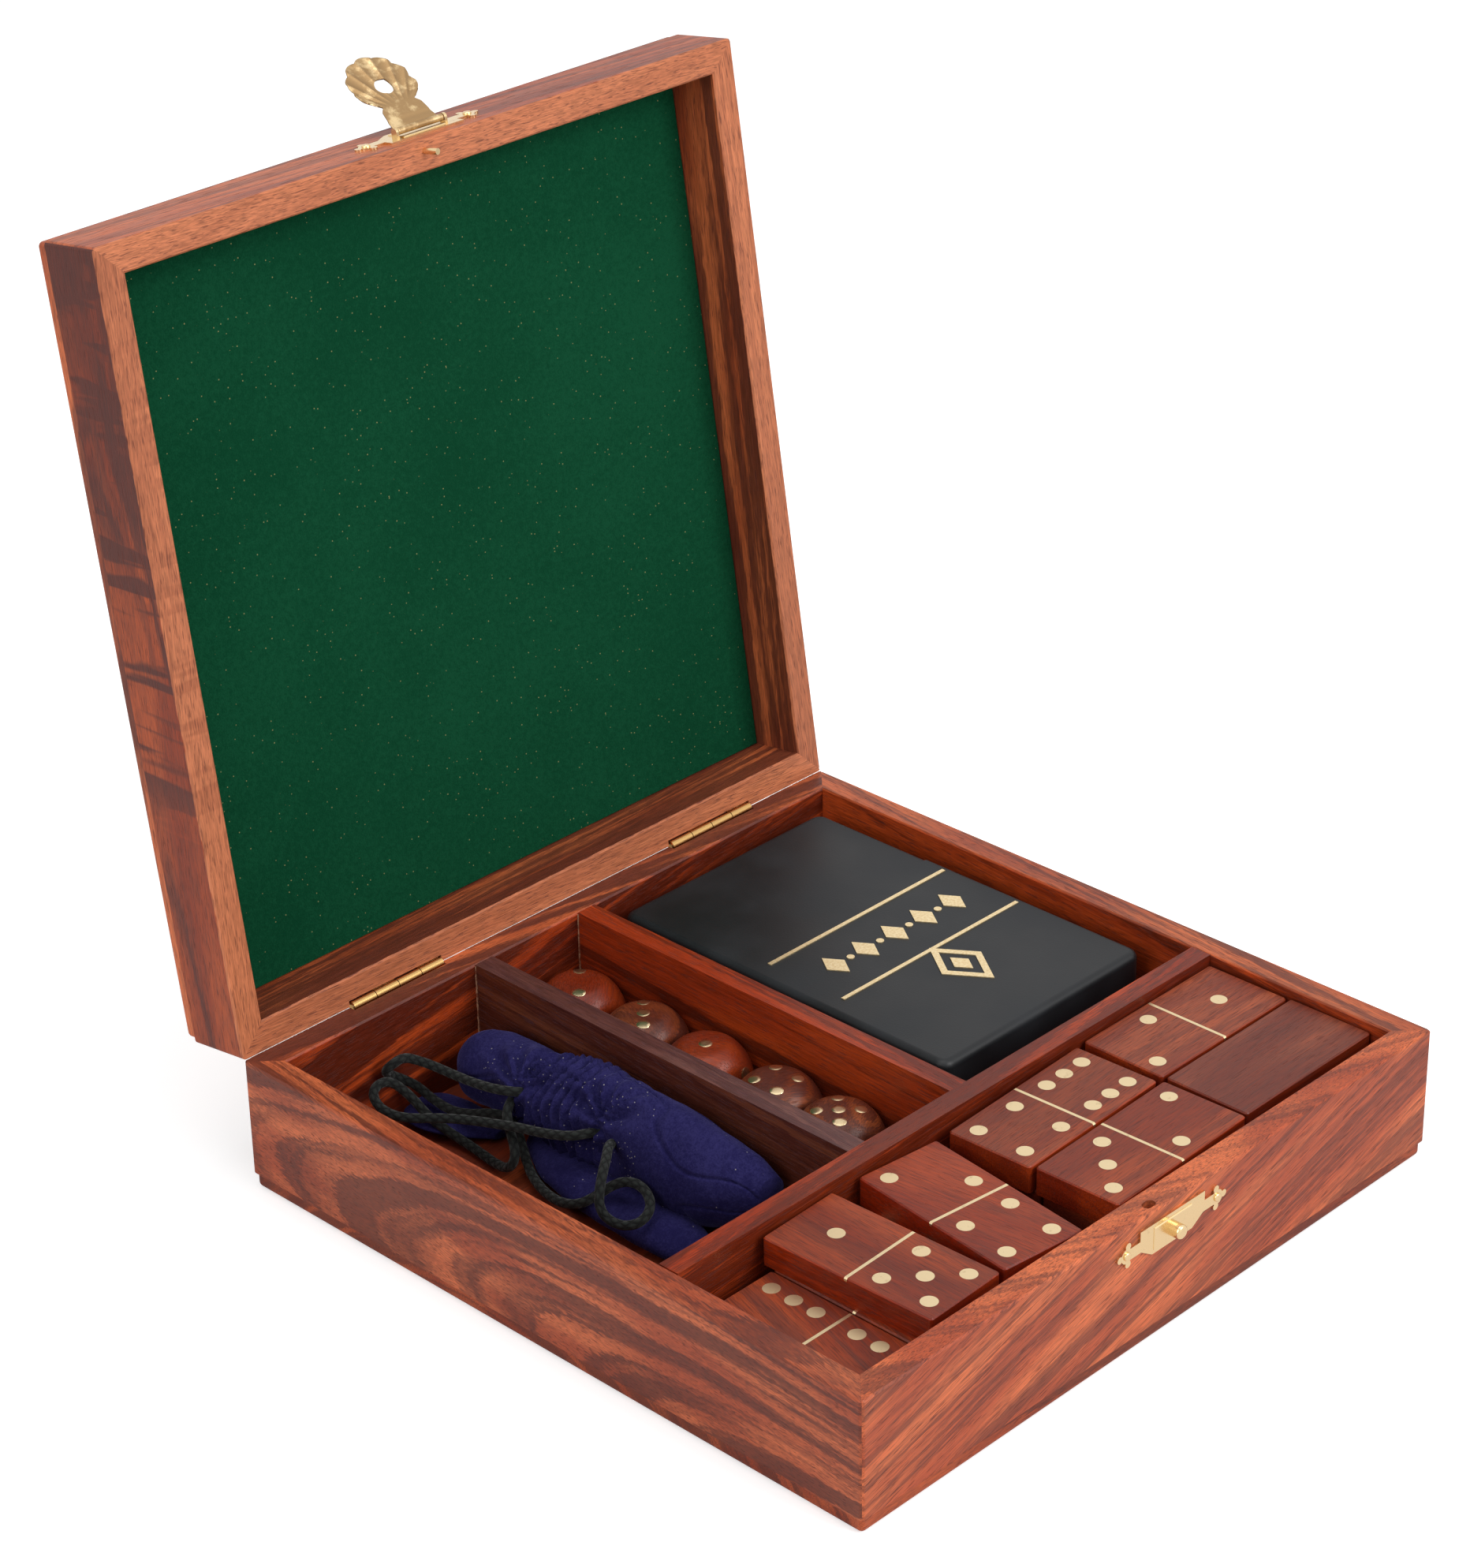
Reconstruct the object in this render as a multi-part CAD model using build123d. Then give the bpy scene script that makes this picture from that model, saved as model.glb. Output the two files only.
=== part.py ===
"""Hardwood games box with a velvet-lined lid, stocked with dominoes, dice, a card case and a drawstring pouch.

Millimetres. X runs right along the clasp side, Y runs from the clasp (front) to the hinges (back), Z is up.
The origin is the centre of the underside. Lid pieces are drawn closed and then swung open about the hinge line.
"""
import math
import os

from build123d import *

# ---- box ----
wall_thickness = 6.5
bottom_thickness = 3.7
rim_allowance = 2.0        # rim above the stacked dominoes
panel_inset = 0.6          # the bottom and top panels stop this far inside the walls' outer faces
corner_radius = 1.0
rim_ease = 0.4             # sanded edge of the rims
panel_edge_radius = 1.2

# ---- lid ----
lid_wall_thickness = 6.7
lid_wall_height = 16.0
top_thickness = 3.7
lining_board_thickness = 2.0
velvet_thickness = 0.6
lining_clearance = 0.3
rim_gap = 0.2              # air between the closed rims
open_angle = 98.3

# ---- compartments ----
divider_thickness = 5.1
pouch_space_width = 53.8
domino_end_play = 4.4      # free depth past a domino's length
die_side_play = 8.4
case_left_gap = 4.4
case_right_gap = 5.1
case_front_gap = 9.7
case_back_gap = 3.6

# ---- hinges ----
hinge_length = 26.0
left_hinge_inset = 43.1    # hinge centre to the box's side
right_hinge_inset = 37.8
knuckles_per_hinge = 4
knuckle_gap = 0.2
barrel_radius = 1.1
hinge_pin_radius = 0.5
hinge_running_clearance = 0.05
barrel_recess_clearance = 0.35
leaf_thickness = 0.6
leaf_setback = 2.3         # from the back face to the middle of the kerf
leaf_reach = 8.6           # from the hinge line to the leaf's buried edge

# ---- clasp ----
clasp_x = 1.5
clasp_plate_thickness = 0.5
clasp_body_length = 20.2
clasp_body_height = 7.0
clasp_corner_cut = 2.4
clasp_emboss_inset = 0.9
clasp_emboss_height = 0.25
clasp_corner_length = 3.8
clasp_emboss_end_inset = 4.2
clasp_emboss_bevel = 0.2
clasp_neck_height = 2.6
clasp_lobe_radius = 1.7
clasp_tip_radius = 0.8
clasp_tip_angles = (0, 100, 260)
nail_spacing = 28.4
nail_head_radius = 0.95
nail_head_height = 0.45
nail_head_round = 0.35
nail_shank_radius = 0.45
nail_length = 5.0
base_plate_drop = 6.0      # plate centre below the base rim
knob_drop = 6.3            # knob centre below the base rim
knob_radius = 1.6
knob_length = 3.3
knob_dome = 0.7
knob_tenon_radius = 0.8
knob_tenon_length = 4.0
lid_plate_rise = 6.6       # plate centre above the closed rim line
hasp_axis_rise = 5.6       # hasp pivot above the closed rim line
hasp_root_width = 12.4
hasp_root_length = 6.2
hasp_root_taper = 1.0
hasp_thickness = 0.5
hasp_knuckle_radius = 0.85
hasp_pin_radius = 0.4
hasp_plate_clearance = 0.15
ear_thickness = 0.7
ear_gap = 0.2
hasp_neck_width = 8.8
hasp_neck_distance = 7.4
hasp_hole_radius = 2.15
shell_length = 20.8        # from the pivot to the shell's tip
shell_flutes = 7
shell_spread = 60.0        # degrees either side of the middle flute
shell_centre_past_neck = 1.0
shell_side_shortening = 0.38
flute_end_radius = 3.0
flute_ridge_run_on = 1.8   # past the centre of a flute's rounded end
flute_ridge_radius = 0.45
flute_ridge_sink = 0.2
flute_ridge_start = 2.8    # from the neck, where the ridges stand clear of each other
flute_hole_margin = 0.2    # from the ridges to the edge of the hole
hasp_roll_step = 0.1       # the rolled root stands this far above the sheet
hasp_open_angle = 139.5    # from hanging shut to where it stands
guide_pin_x = -2.7
guide_pin_inset = 2.4      # from the lid's front face
guide_pin_radius = 0.7
guide_pin_show = 3.6
guide_pin_buried = 6.0
guide_pin_lean = 8.0
guide_hole_width = 3.2
guide_hole_breadth = 2.2
guide_hole_depth = 5.0

# ---- card case ----
case_wall = 1.2
card_side_play = 0.05      # from the cards to the case's side walls
card_end_play = 3.4        # from the cards to the case's end walls
card_top_play = 0.6
case_corner_radius = 3.0
case_edge_radius = 1.8
case_seam_from_back = 34.6
case_lip_length = 6.0
case_lip_share = 0.5       # of the wall's thickness
case_lip_clearance = 0.05
case_cap_inset = 0.25
card_width = 63.0
card_length = 88.0
deck_height = 22.0
card_corner_radius = 3.0
gilding_thickness = 0.2
rule_width = 1.0
rule_left_margin = 5.6
rule_right_margin = 2.3
rule_from_seam = (6.4, 28.3)
ornament_count = 5
ornament_height = 8.4
ornament_width = 5.6
ornament_pitch = 9.6
bead_radius = 0.9
emblem_from_front = 16.0
emblem_offset_x = 1.6
emblem_length = 19.0
emblem_breadth = 13.0
emblem_band = 1.9

# ---- dice ----
die_size = 17.6
die_round_diameter = 20.8
die_pip_radius = 1.65
die_pip_depth = 0.8
die_pip_spacing = 3.4
die_wall_gap = 0.5         # to the divider on the case side
die_tops = (2, 3, 1, 4, 5)
die_from_back = (9.6, 29.7, 48.7, 69.7, 87.8)   # each die's centre, measured from the back wall

# ---- dominoes ----
domino_length = 43.0
domino_width = 21.0
domino_thickness = 6.35
domino_corner_radius = 0.8
domino_edge_ease = 0.3
domino_pip_radius = 1.85
domino_pip_depth = 0.8
domino_line_width = 0.75
domino_pip_columns = 6.0   # from the long middle line
domino_pip_rows = (5.3, 11.3, 17.2)   # from the dividing line
domino_gap = 0.4
lower_layers = 3

# ---- pouch and drawstrings ----
cord_diameter = 2.1
soft_clearance = 0.35
# along the pouch: y from the back wall, x from the dice side, height of middle, half width, half height
pouch_sections = (
    (7.5, 7.9, 14.6, 5.0, 4.6),
    (12.5, 8.5, 14.8, 8.0, 7.6),
    (21.5, 8.9, 15.2, 8.4, 8.6),
    (31.5, 8.8, 15.6, 8.2, 9.2),
    (41.5, 9.0, 16.0, 8.5, 10.9),
    (54.5, 8.7, 15.8, 8.3, 12.4),
    (69.5, 9.0, 15.6, 8.6, 12.3),
    (81.5, 9.0, 15.8, 8.5, 10.8),
    (89.5, 7.9, 16.0, 7.2, 8.4),
    (95.0, 6.5, 16.4, 3.8, 4.2),
)
pouch_fold_sections = (
    (31.5, 13.3, 6.0, 2.5, 2.0),
    (37.5, 14.8, 6.4, 5.0, 2.8),
    (44.5, 15.8, 6.6, 7.5, 3.3),
    (56.5, 17.3, 6.6, 8.5, 3.4),
    (71.5, 18.8, 6.6, 8.0, 3.4),
    (81.5, 19.8, 6.4, 6.5, 3.2),
    (88.5, 20.3, 6.0, 4.0, 2.4),
)
pouch_flap_sections = (
    (2.2, 20.8, 6.4, 4.0, 1.2),
    (5.5, 20.8, 6.4, 6.5, 2.0),
    (10.0, 20.6, 6.3, 7.0, 2.2),
    (15.0, 19.6, 6.2, 6.5, 2.0),
    (19.5, 17.0, 6.0, 5.5, 1.6),
    (24.0, 13.5, 5.8, 5.0, 1.5),
)
# route of each drawstring loop, as points from one eyelet of the pouch back to the next
rear_cord_points = (
    (-43.4, 48.6, 19.0),
    (-47.1, 50.1, 20.2),
    (-48.8, 54.7, 19.8),
    (-48.8, 61.3, 18.6),
    (-48.8, 67.6, 18.0),
    (-49.7, 73.1, 18.4),
    (-52.1, 76.1, 19.8),
    (-54.6, 76.6, 21.2),
    (-57.2, 76.6, 21.3),
    (-58.5, 77.9, 19.6),
    (-57.9, 79.3, 17.7),
    (-55.7, 79.9, 15.9),
    (-53.2, 79.2, 14.0),
    (-51.0, 77.2, 12.2),
    (-50.6, 72.8, 10.4),
    (-50.7, 66.6, 10.0),
    (-49.3, 61.5, 10.8),
    (-47.9, 57.1, 12.4),
    (-46.9, 53.4, 12.6),
    (-46.6, 50.6, 10.6),
    (-48.3, 47.2, 8.6),
    (-50.7, 43.3, 7.0),
    (-53.4, 38.3, 6.4),
    (-55.4, 32.5, 6.4),
    (-56.7, 26.3, 7.4),
    (-56.0, 21.8, 8.8),
    (-53.6, 18.8, 11.2),
    (-51.1, 16.9, 13.4),
    (-49.2, 14.2, 14.8),
    (-48.5, 10.7, 14.8),
    (-49.5, 7.2, 13.8),
    (-52.0, 4.8, 12.6),
    (-55.8, 4.5, 11.6),
    (-58.0, 7.5, 11.0),
    (-59.4, 10.5, 12.4),
    (-59.2, 12.4, 14.6),
    (-57.6, 13.7, 17.2),
    (-54.8, 15.5, 19.0),
    (-50.3, 18.8, 19.8),
    (-46.4, 22.3, 19.2),
    (-43.0, 22.6, 17.8),
)
front_cord_points = (
    (-42.8, 27.2, 18.2),
    (-45.5, 28.2, 18.8),
    (-48.9, 29.9, 18.8),
    (-50.2, 34.0, 17.8),
    (-51.1, 39.3, 16.8),
    (-52.0, 44.3, 16.2),
    (-54.3, 50.2, 15.8),
    (-56.7, 55.9, 15.4),
    (-60.0, 60.8, 15.2),
    (-63.6, 64.8, 15.0),
    (-65.5, 68.6, 15.0),
    (-65.7, 72.9, 15.4),
    (-64.9, 75.8, 17.0),
    (-62.5, 76.6, 18.2),
    (-59.4, 76.2, 17.6),
    (-57.3, 75.2, 15.4),
    (-55.9, 72.9, 12.8),
    (-54.8, 70.3, 9.6),
    (-53.8, 66.9, 7.6),
    (-52.8, 63.2, 6.0),
    (-52.5, 58.4, 5.3),
    (-53.1, 53.1, 5.2),
    (-53.8, 49.2, 5.5),
    (-54.6, 45.6, 6.6),
    (-54.9, 43.2, 8.6),
    (-54.1, 43.0, 10.6),
    (-52.7, 44.9, 12.2),
    (-51.3, 47.5, 13.6),
    (-49.9, 49.8, 15.2),
    (-48.4, 51.2, 16.8),
    (-44.4, 52.6, 17.6),
)

# ---- values worked out from the ones above ----
case_width = card_width + 2 * (card_side_play + case_wall)
case_length = card_length + 2 * (card_end_play + case_wall)
case_height = deck_height + card_top_play + 2 * case_wall
domino_space_depth = max(domino_length, 2 * domino_width) + domino_end_play
dice_space_width = die_size + die_side_play
case_space_width = case_left_gap + case_width + case_right_gap
case_space_depth = case_front_gap + case_length + case_back_gap
inner_width = pouch_space_width + dice_space_width + case_space_width + 2 * divider_thickness
inner_depth = domino_space_depth + divider_thickness + case_space_depth
box_width = inner_width + 2 * wall_thickness
box_depth = inner_depth + 2 * wall_thickness
wall_height = (lower_layers + 1) * domino_thickness + rim_allowance
rim_z = bottom_thickness + wall_height
lid_rim_z = rim_z + rim_gap
lid_ceiling_z = lid_rim_z + lid_wall_height
hinge_y = box_depth / 2
hinge_z = rim_z + rim_gap / 2
hinge_centres_x = (left_hinge_inset - box_width / 2, box_width / 2 - right_hinge_inset)
front_y = -box_depth / 2
inner_left = -box_width / 2 + wall_thickness
inner_right = box_width / 2 - wall_thickness
inner_front = front_y + wall_thickness
inner_back = box_depth / 2 - wall_thickness
divider_front_y = inner_front + domino_space_depth
divider_back_y = divider_front_y + divider_thickness
pouch_right = inner_left + pouch_space_width
dice_left = pouch_right + divider_thickness
dice_right = dice_left + dice_space_width
case_space_left = dice_right + divider_thickness
overlap = 1.0              # how far a cutting tool runs past the face it cuts
FLOOR = (Align.CENTER, Align.CENTER, Align.MIN)
CEILING = (Align.CENTER, Align.CENTER, Align.MAX)
CORNER = (Align.MIN, Align.MIN, Align.MIN)

parts = {}


def block(low, high):
    """An upright block between two corners."""
    size = [b - a for a, b in zip(low, high)]
    return Pos(*low) * Box(*size, align=CORNER)


def swing_open(shape):
    """Turns a lid piece from its closed place to the open rest place."""
    hinge_line = Axis((0, hinge_y, hinge_z), (1, 0, 0))
    return shape.rotate(hinge_line, -open_angle)


# ---- mitred frames ----
def frame_sides(width, depth, thickness, height, low_z):
    """The four walls of a frame, cut at 45 degrees in the corners."""
    outline = RectangleRounded(width, depth, corner_radius)
    ring = outline - Rectangle(width - 2 * thickness, depth - 2 * thickness)
    ring = Pos(0, 0, low_z) * extrude(ring, amount=height)
    sides = {}
    for name, turn, across, along in (
        ("front", 0, width, depth),
        ("right", 90, depth, width),
        ("back", 180, width, depth),
        ("left", 270, depth, width),
    ):
        half = across / 2 + overlap
        edge = -along / 2 - overlap
        deep = thickness + 2 * overlap
        wedge = Polygon(
            (-half, edge), (half, edge), (half - deep, edge + deep), (deep - half, edge + deep),
            align=None,
        )
        wedge = Pos(0, 0, low_z - overlap) * extrude(wedge, amount=height + 2 * overlap)
        sides[name] = ring & wedge.rotate(Axis.Z, turn)
    return sides


def ease_rim(wall, rim_height):
    """Softens the long edges of the face that lies at the rim, but not the sharp edges that meet at the hinges."""
    rim = min(wall.faces().filter_by(Axis.Z), key=lambda face: abs(face.center().Z - rim_height))
    long_edges = rim.outer_wire().edges().filter_by(
        lambda edge: edge.length > 3 * wall_thickness and edge.center().Y < hinge_y - rim_ease
    )
    return chamfer(long_edges, rim_ease)


# ---- hinges ----
def hinge_leaf(centre_x, first_knuckle, upward, bore_radius):
    """One leaf: every second knuckle, their webs, and the plate buried in the wall."""
    pitch = hinge_length / knuckles_per_hinge
    knuckle_length = pitch - knuckle_gap
    low_x = centre_x - hinge_length / 2
    side = 1 if upward else -1
    plate_top = leaf_setback
    leaf = Box(hinge_length - knuckle_gap, leaf_thickness, leaf_reach - plate_top)
    leaf = Pos(centre_x, hinge_y - leaf_setback, hinge_z + side * (plate_top + leaf_reach) / 2) * leaf
    web_length = leaf_setback * math.sqrt(2)
    for index in range(first_knuckle, knuckles_per_hinge, 2):
        middle_x = low_x + (index + 0.5) * pitch
        web = Box(knuckle_length, web_length, leaf_thickness)
        web = Rot(-side * 45, 0, 0) * web
        leaf += Pos(middle_x, hinge_y - leaf_setback / 2, hinge_z + side * leaf_setback / 2) * web
        knuckle = Rot(0, 90, 0) * Cylinder(barrel_radius, knuckle_length)
        leaf += Pos(middle_x, hinge_y, hinge_z) * knuckle
    bore = Rot(0, 90, 0) * Cylinder(bore_radius, hinge_length + 2 * overlap)
    return leaf - Pos(centre_x, hinge_y, hinge_z) * bore


def hinge_recess(centre_x):
    """The groove in both back rims in which a barrel turns."""
    groove = Cylinder(barrel_radius + barrel_recess_clearance, hinge_length + 2 * barrel_recess_clearance)
    return Pos(centre_x, hinge_y, hinge_z) * Rot(0, 90, 0) * groove


# ---- clasp ----
def clasp_plate(centre_z, cut_corners_down):
    """A stamped plate with a raised middle and two pierced end lobes, flat on the front face."""
    body = Rectangle(clasp_body_length, clasp_body_height)
    side = -1 if cut_corners_down else 1
    for end in (-1, 1):
        corner = Polygon(
            (0, 0), (-end * clasp_corner_length, 0), (0, -side * clasp_corner_cut), align=None
        )
        body -= Pos(end * clasp_body_length / 2, side * clasp_body_height / 2) * corner
    outline = body + Rectangle(nail_spacing, clasp_neck_height)
    tip = clasp_lobe_radius + clasp_tip_radius / 2
    for end in (-1, 1):
        lobe = Circle(clasp_lobe_radius)
        for angle in clasp_tip_angles:
            turn = math.radians(angle)
            lobe += Pos(end * tip * math.cos(turn), tip * math.sin(turn)) * Circle(clasp_tip_radius)
        outline += Pos(end * nail_spacing / 2, 0) * lobe
    plate = extrude(outline, amount=clasp_plate_thickness)
    raised = Rectangle(
        clasp_body_length - 2 * clasp_emboss_end_inset, clasp_body_height - 2 * clasp_emboss_inset
    )
    raised = extrude(raised, amount=clasp_plate_thickness + clasp_emboss_height)
    raised = chamfer(raised.faces().sort_by(Axis.Z)[-1].edges(), clasp_emboss_bevel)
    plate += raised
    return Pos(clasp_x, front_y, centre_z) * Rot(90, 0, 0) * plate


def nails(centre_z):
    """Two domed nails, one through each lobe of a clasp plate."""
    head = Cylinder(nail_head_radius, nail_head_height, align=FLOOR)
    head = fillet(head.edges().sort_by(Axis.Z)[-1], nail_head_round)
    nail = Pos(0, 0, clasp_plate_thickness) * head
    shank = Cylinder(nail_shank_radius, nail_length, align=CEILING)
    nail += Pos(0, 0, clasp_plate_thickness + nail_head_height / 2) * shank
    pair = []
    for end in (-1, 1):
        place = Pos(clasp_x + end * nail_spacing / 2, front_y, centre_z)
        pair.append(place * Rot(90, 0, 0) * nail)
    return Compound(pair)


hasp_axis_z = lid_rim_z + hasp_axis_rise
hasp_stand_off = clasp_plate_thickness + clasp_emboss_height + hasp_plate_clearance
hasp_axis_y = front_y - hasp_stand_off - hasp_knuckle_radius
knob_z = rim_z - knob_drop
hasp_reach = hasp_axis_z - knob_z      # pivot to the middle of the hole


def hasp():
    """The shell-shaped hasp, hanging shut: rolled root, neck, fluted fan, round hole."""
    root = Polygon(
        (-hasp_root_width / 2, 0),
        (hasp_root_width / 2, 0),
        (hasp_root_width / 2 - hasp_root_taper, -hasp_root_length),
        (hasp_neck_width / 2, -hasp_neck_distance),
        (-hasp_neck_width / 2, -hasp_neck_distance),
        (hasp_root_taper - hasp_root_width / 2, -hasp_root_length),
        align=None,
    )
    fan_centre = hasp_neck_distance + shell_centre_past_neck
    fan_reach = shell_length - fan_centre - flute_end_radius
    ends = []
    for index in range(shell_flutes):
        aside = 2 * index / (shell_flutes - 1) - 1
        angle = math.radians(shell_spread * aside)
        reach = fan_reach * (1 - shell_side_shortening * aside ** 2)
        end = (reach * math.sin(angle), -fan_centre - reach * math.cos(angle))
        ends.append(end)
    neck = hasp_neck_width / 2
    fan = Polygon((-neck, -hasp_root_length), *ends, (neck, -hasp_root_length), align=None)
    sheet = extrude(root, amount=hasp_thickness) + extrude(fan, amount=hasp_thickness)
    for end in ends:
        sheet += Pos(*end) * Cylinder(flute_end_radius, hasp_thickness, align=FLOOR)
    hole_drop = hasp_reach - hasp_neck_distance
    hole_reach = hasp_hole_radius + flute_ridge_radius + flute_hole_margin
    for end in ends:
        neck_middle = Vector(0, -hasp_neck_distance, hasp_thickness - flute_ridge_sink)
        way = Vector(end[0], end[1], neck_middle.Z) - neck_middle
        turn = math.atan2(way.X, -way.Y)
        start = flute_ridge_start
        aside = abs(hole_drop * math.sin(turn))
        if aside < hole_reach:
            start = hole_drop * math.cos(turn) + math.sqrt(hole_reach ** 2 - aside ** 2)
        reach = way.length + flute_ridge_run_on
        ridge = Cylinder(flute_ridge_radius, reach - start)
        middle = neck_middle + way.normalized() * ((reach + start) / 2)
        sheet += Pos(*middle) * Rot(0, 0, math.degrees(turn)) * Rot(90, 0, 0) * ridge
    hole = Cylinder(hasp_hole_radius, 2 * (hasp_thickness + overlap))
    sheet -= Pos(0, -hasp_reach, 0) * hole
    knuckle = Rot(0, 90, 0) * Cylinder(hasp_knuckle_radius, hasp_root_width)
    bore_radius = hasp_pin_radius + hinge_running_clearance
    sheet = Pos(0, 0, hasp_knuckle_radius - hasp_roll_step - hasp_thickness) * sheet + knuckle
    sheet -= Rot(0, 90, 0) * Cylinder(bore_radius, hasp_root_width + 2 * overlap)
    return Pos(clasp_x, hasp_axis_y, hasp_axis_z) * Rot(90, 0, 0) * sheet


def hasp_ears():
    """Two ears that stand up from the lid plate and carry the hasp's pin."""
    ears = None
    foot_y = front_y - clasp_plate_thickness / 2
    for end in (-1, 1):
        middle_x = clasp_x + end * (hasp_root_width / 2 + ear_gap + ear_thickness / 2)
        ear = Rot(0, 90, 0) * Cylinder(hasp_knuckle_radius, ear_thickness)
        ear = Pos(middle_x, hasp_axis_y, hasp_axis_z) * ear
        foot = block(
            (middle_x - ear_thickness / 2, hasp_axis_y, hasp_axis_z - hasp_knuckle_radius),
            (middle_x + ear_thickness / 2, foot_y, hasp_axis_z + hasp_knuckle_radius),
        )
        ears = ear + foot if ears is None else ears + ear + foot
    return ears


def hasp_pin():
    length = hasp_root_width + 2 * (ear_gap + ear_thickness)
    return Pos(clasp_x, hasp_axis_y, hasp_axis_z) * Rot(0, 90, 0) * Cylinder(hasp_pin_radius, length)


hasp_turn_axis = Axis((0, hasp_axis_y, hasp_axis_z), (1, 0, 0))


# ---- base ----
def build_base():
    walls = frame_sides(box_width, box_depth, wall_thickness, wall_height, bottom_thickness)
    for name in walls:
        walls[name] = ease_rim(walls[name], rim_z)
    knob = Cylinder(knob_radius, knob_length, align=FLOOR)
    knob = fillet(knob.edges().sort_by(Axis.Z)[-1], knob_dome)
    knob += Cylinder(knob_tenon_radius, knob_tenon_length, align=CEILING)
    knob = Pos(clasp_x, front_y, knob_z) * Rot(90, 0, 0) * knob
    plate = clasp_plate(rim_z - base_plate_drop, True) - knob
    plate_nails = nails(rim_z - base_plate_drop)
    guide_hole = SlotOverall(guide_hole_width, guide_hole_breadth)
    guide_hole = extrude(guide_hole, amount=guide_hole_depth + overlap)
    guide_hole = Pos(guide_pin_x, front_y + guide_pin_inset, rim_z - guide_hole_depth) * guide_hole
    walls["front"] = walls["front"] - knob - plate_nails - guide_hole
    for side, centre_x in zip(("left", "right"), hinge_centres_x):
        leaf = hinge_leaf(centre_x, 0, False, hinge_pin_radius)
        walls["back"] = walls["back"] - hinge_recess(centre_x) - leaf
        parts[side + "_hinge_base_leaf"] = leaf
        pin = Cylinder(hinge_pin_radius, hinge_length - knuckle_gap)
        parts[side + "_hinge_pin"] = Pos(centre_x, hinge_y, hinge_z) * Rot(0, 90, 0) * pin
    for name, wall in walls.items():
        parts["base_" + name + "_wall"] = wall
    panel = RectangleRounded(box_width - 2 * panel_inset, box_depth - 2 * panel_inset, corner_radius)
    panel = extrude(panel, amount=bottom_thickness)
    parts["bottom_panel"] = fillet(panel.faces().sort_by(Axis.Z)[0].edges(), panel_edge_radius)
    parts["base_clasp_plate"] = plate - plate_nails
    parts["clasp_knob"] = knob
    parts["base_clasp_nails"] = plate_nails
    parts["long_divider"] = block(
        (inner_left, divider_front_y, bottom_thickness), (inner_right, divider_back_y, rim_z)
    )
    for name, low_x in (("pouch_dice_divider", pouch_right), ("dice_case_divider", dice_right)):
        parts[name] = block(
            (low_x, divider_back_y, bottom_thickness), (low_x + divider_thickness, inner_back, rim_z)
        )


# ---- lid ----
def build_lid():
    walls = frame_sides(box_width, box_depth, lid_wall_thickness, lid_wall_height, lid_rim_z)
    for name in walls:
        walls[name] = ease_rim(walls[name], lid_rim_z)
    plate_z = lid_rim_z + lid_plate_rise
    plate = clasp_plate(plate_z, False) + hasp_ears()
    plate_nails = nails(plate_z)
    pin = hasp_pin()
    guide_pin = Cylinder(guide_pin_radius, guide_pin_show, align=CEILING)
    guide_pin = Rot(0, -guide_pin_lean, 0) * guide_pin
    guide_pin += Cylinder(guide_pin_radius, guide_pin_buried, align=FLOOR) + Sphere(guide_pin_radius)
    guide_pin = Pos(guide_pin_x, front_y + guide_pin_inset, lid_rim_z) * guide_pin
    walls["front"] = walls["front"] - plate_nails - guide_pin
    for side, centre_x in zip(("left", "right"), hinge_centres_x):
        leaf = hinge_leaf(centre_x, 1, True, hinge_pin_radius + hinge_running_clearance)
        walls["back"] = walls["back"] - hinge_recess(centre_x) - leaf
        parts[side + "_hinge_lid_leaf"] = swing_open(leaf)
    for name, wall in walls.items():
        parts["lid_" + name + "_wall"] = swing_open(wall)
    panel = RectangleRounded(box_width - 2 * panel_inset, box_depth - 2 * panel_inset, corner_radius)
    panel = Pos(0, 0, lid_ceiling_z) * extrude(panel, amount=top_thickness)
    panel = fillet(panel.faces().sort_by(Axis.Z)[-1].edges(), panel_edge_radius)
    parts["lid_top_panel"] = swing_open(panel)
    lining_width = box_width - 2 * (lid_wall_thickness + lining_clearance)
    lining_depth = box_depth - 2 * (lid_wall_thickness + lining_clearance)
    board_z = lid_ceiling_z - lining_board_thickness
    board = Pos(0, 0, board_z) * Box(lining_width, lining_depth, lining_board_thickness, align=FLOOR)
    parts["lid_lining_board"] = swing_open(board)
    velvet = Box(lining_width, lining_depth, velvet_thickness, align=FLOOR)
    parts["lid_velvet_lining"] = swing_open(Pos(0, 0, board_z - velvet_thickness) * velvet)
    parts["lid_clasp_plate"] = swing_open(plate - plate_nails - pin)
    parts["lid_clasp_nails"] = swing_open(plate_nails)
    parts["hasp_pin"] = swing_open(pin)
    parts["guide_pin"] = swing_open(guide_pin)
    parts["shell_hasp"] = swing_open(hasp().rotate(hasp_turn_axis, -hasp_open_angle))


# ---- card case ----
def case_envelope(inset):
    """The card case's outer form, shrunk by inset on every side."""
    shell = extrude(
        RectangleRounded(case_width - 2 * inset, case_length - 2 * inset, case_corner_radius),
        amount=case_height - 2 * inset,
    )
    edges = shell.faces().sort_by(Axis.Z)[0].edges() + shell.faces().sort_by(Axis.Z)[-1].edges()
    return Pos(0, 0, inset) * fillet(edges, case_edge_radius)


def lozenge(length, breadth):
    """A flat diamond with its long way along Y."""
    return Polygon((0, -length / 2), (breadth / 2, 0), (0, length / 2), (-breadth / 2, 0), align=None)


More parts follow.
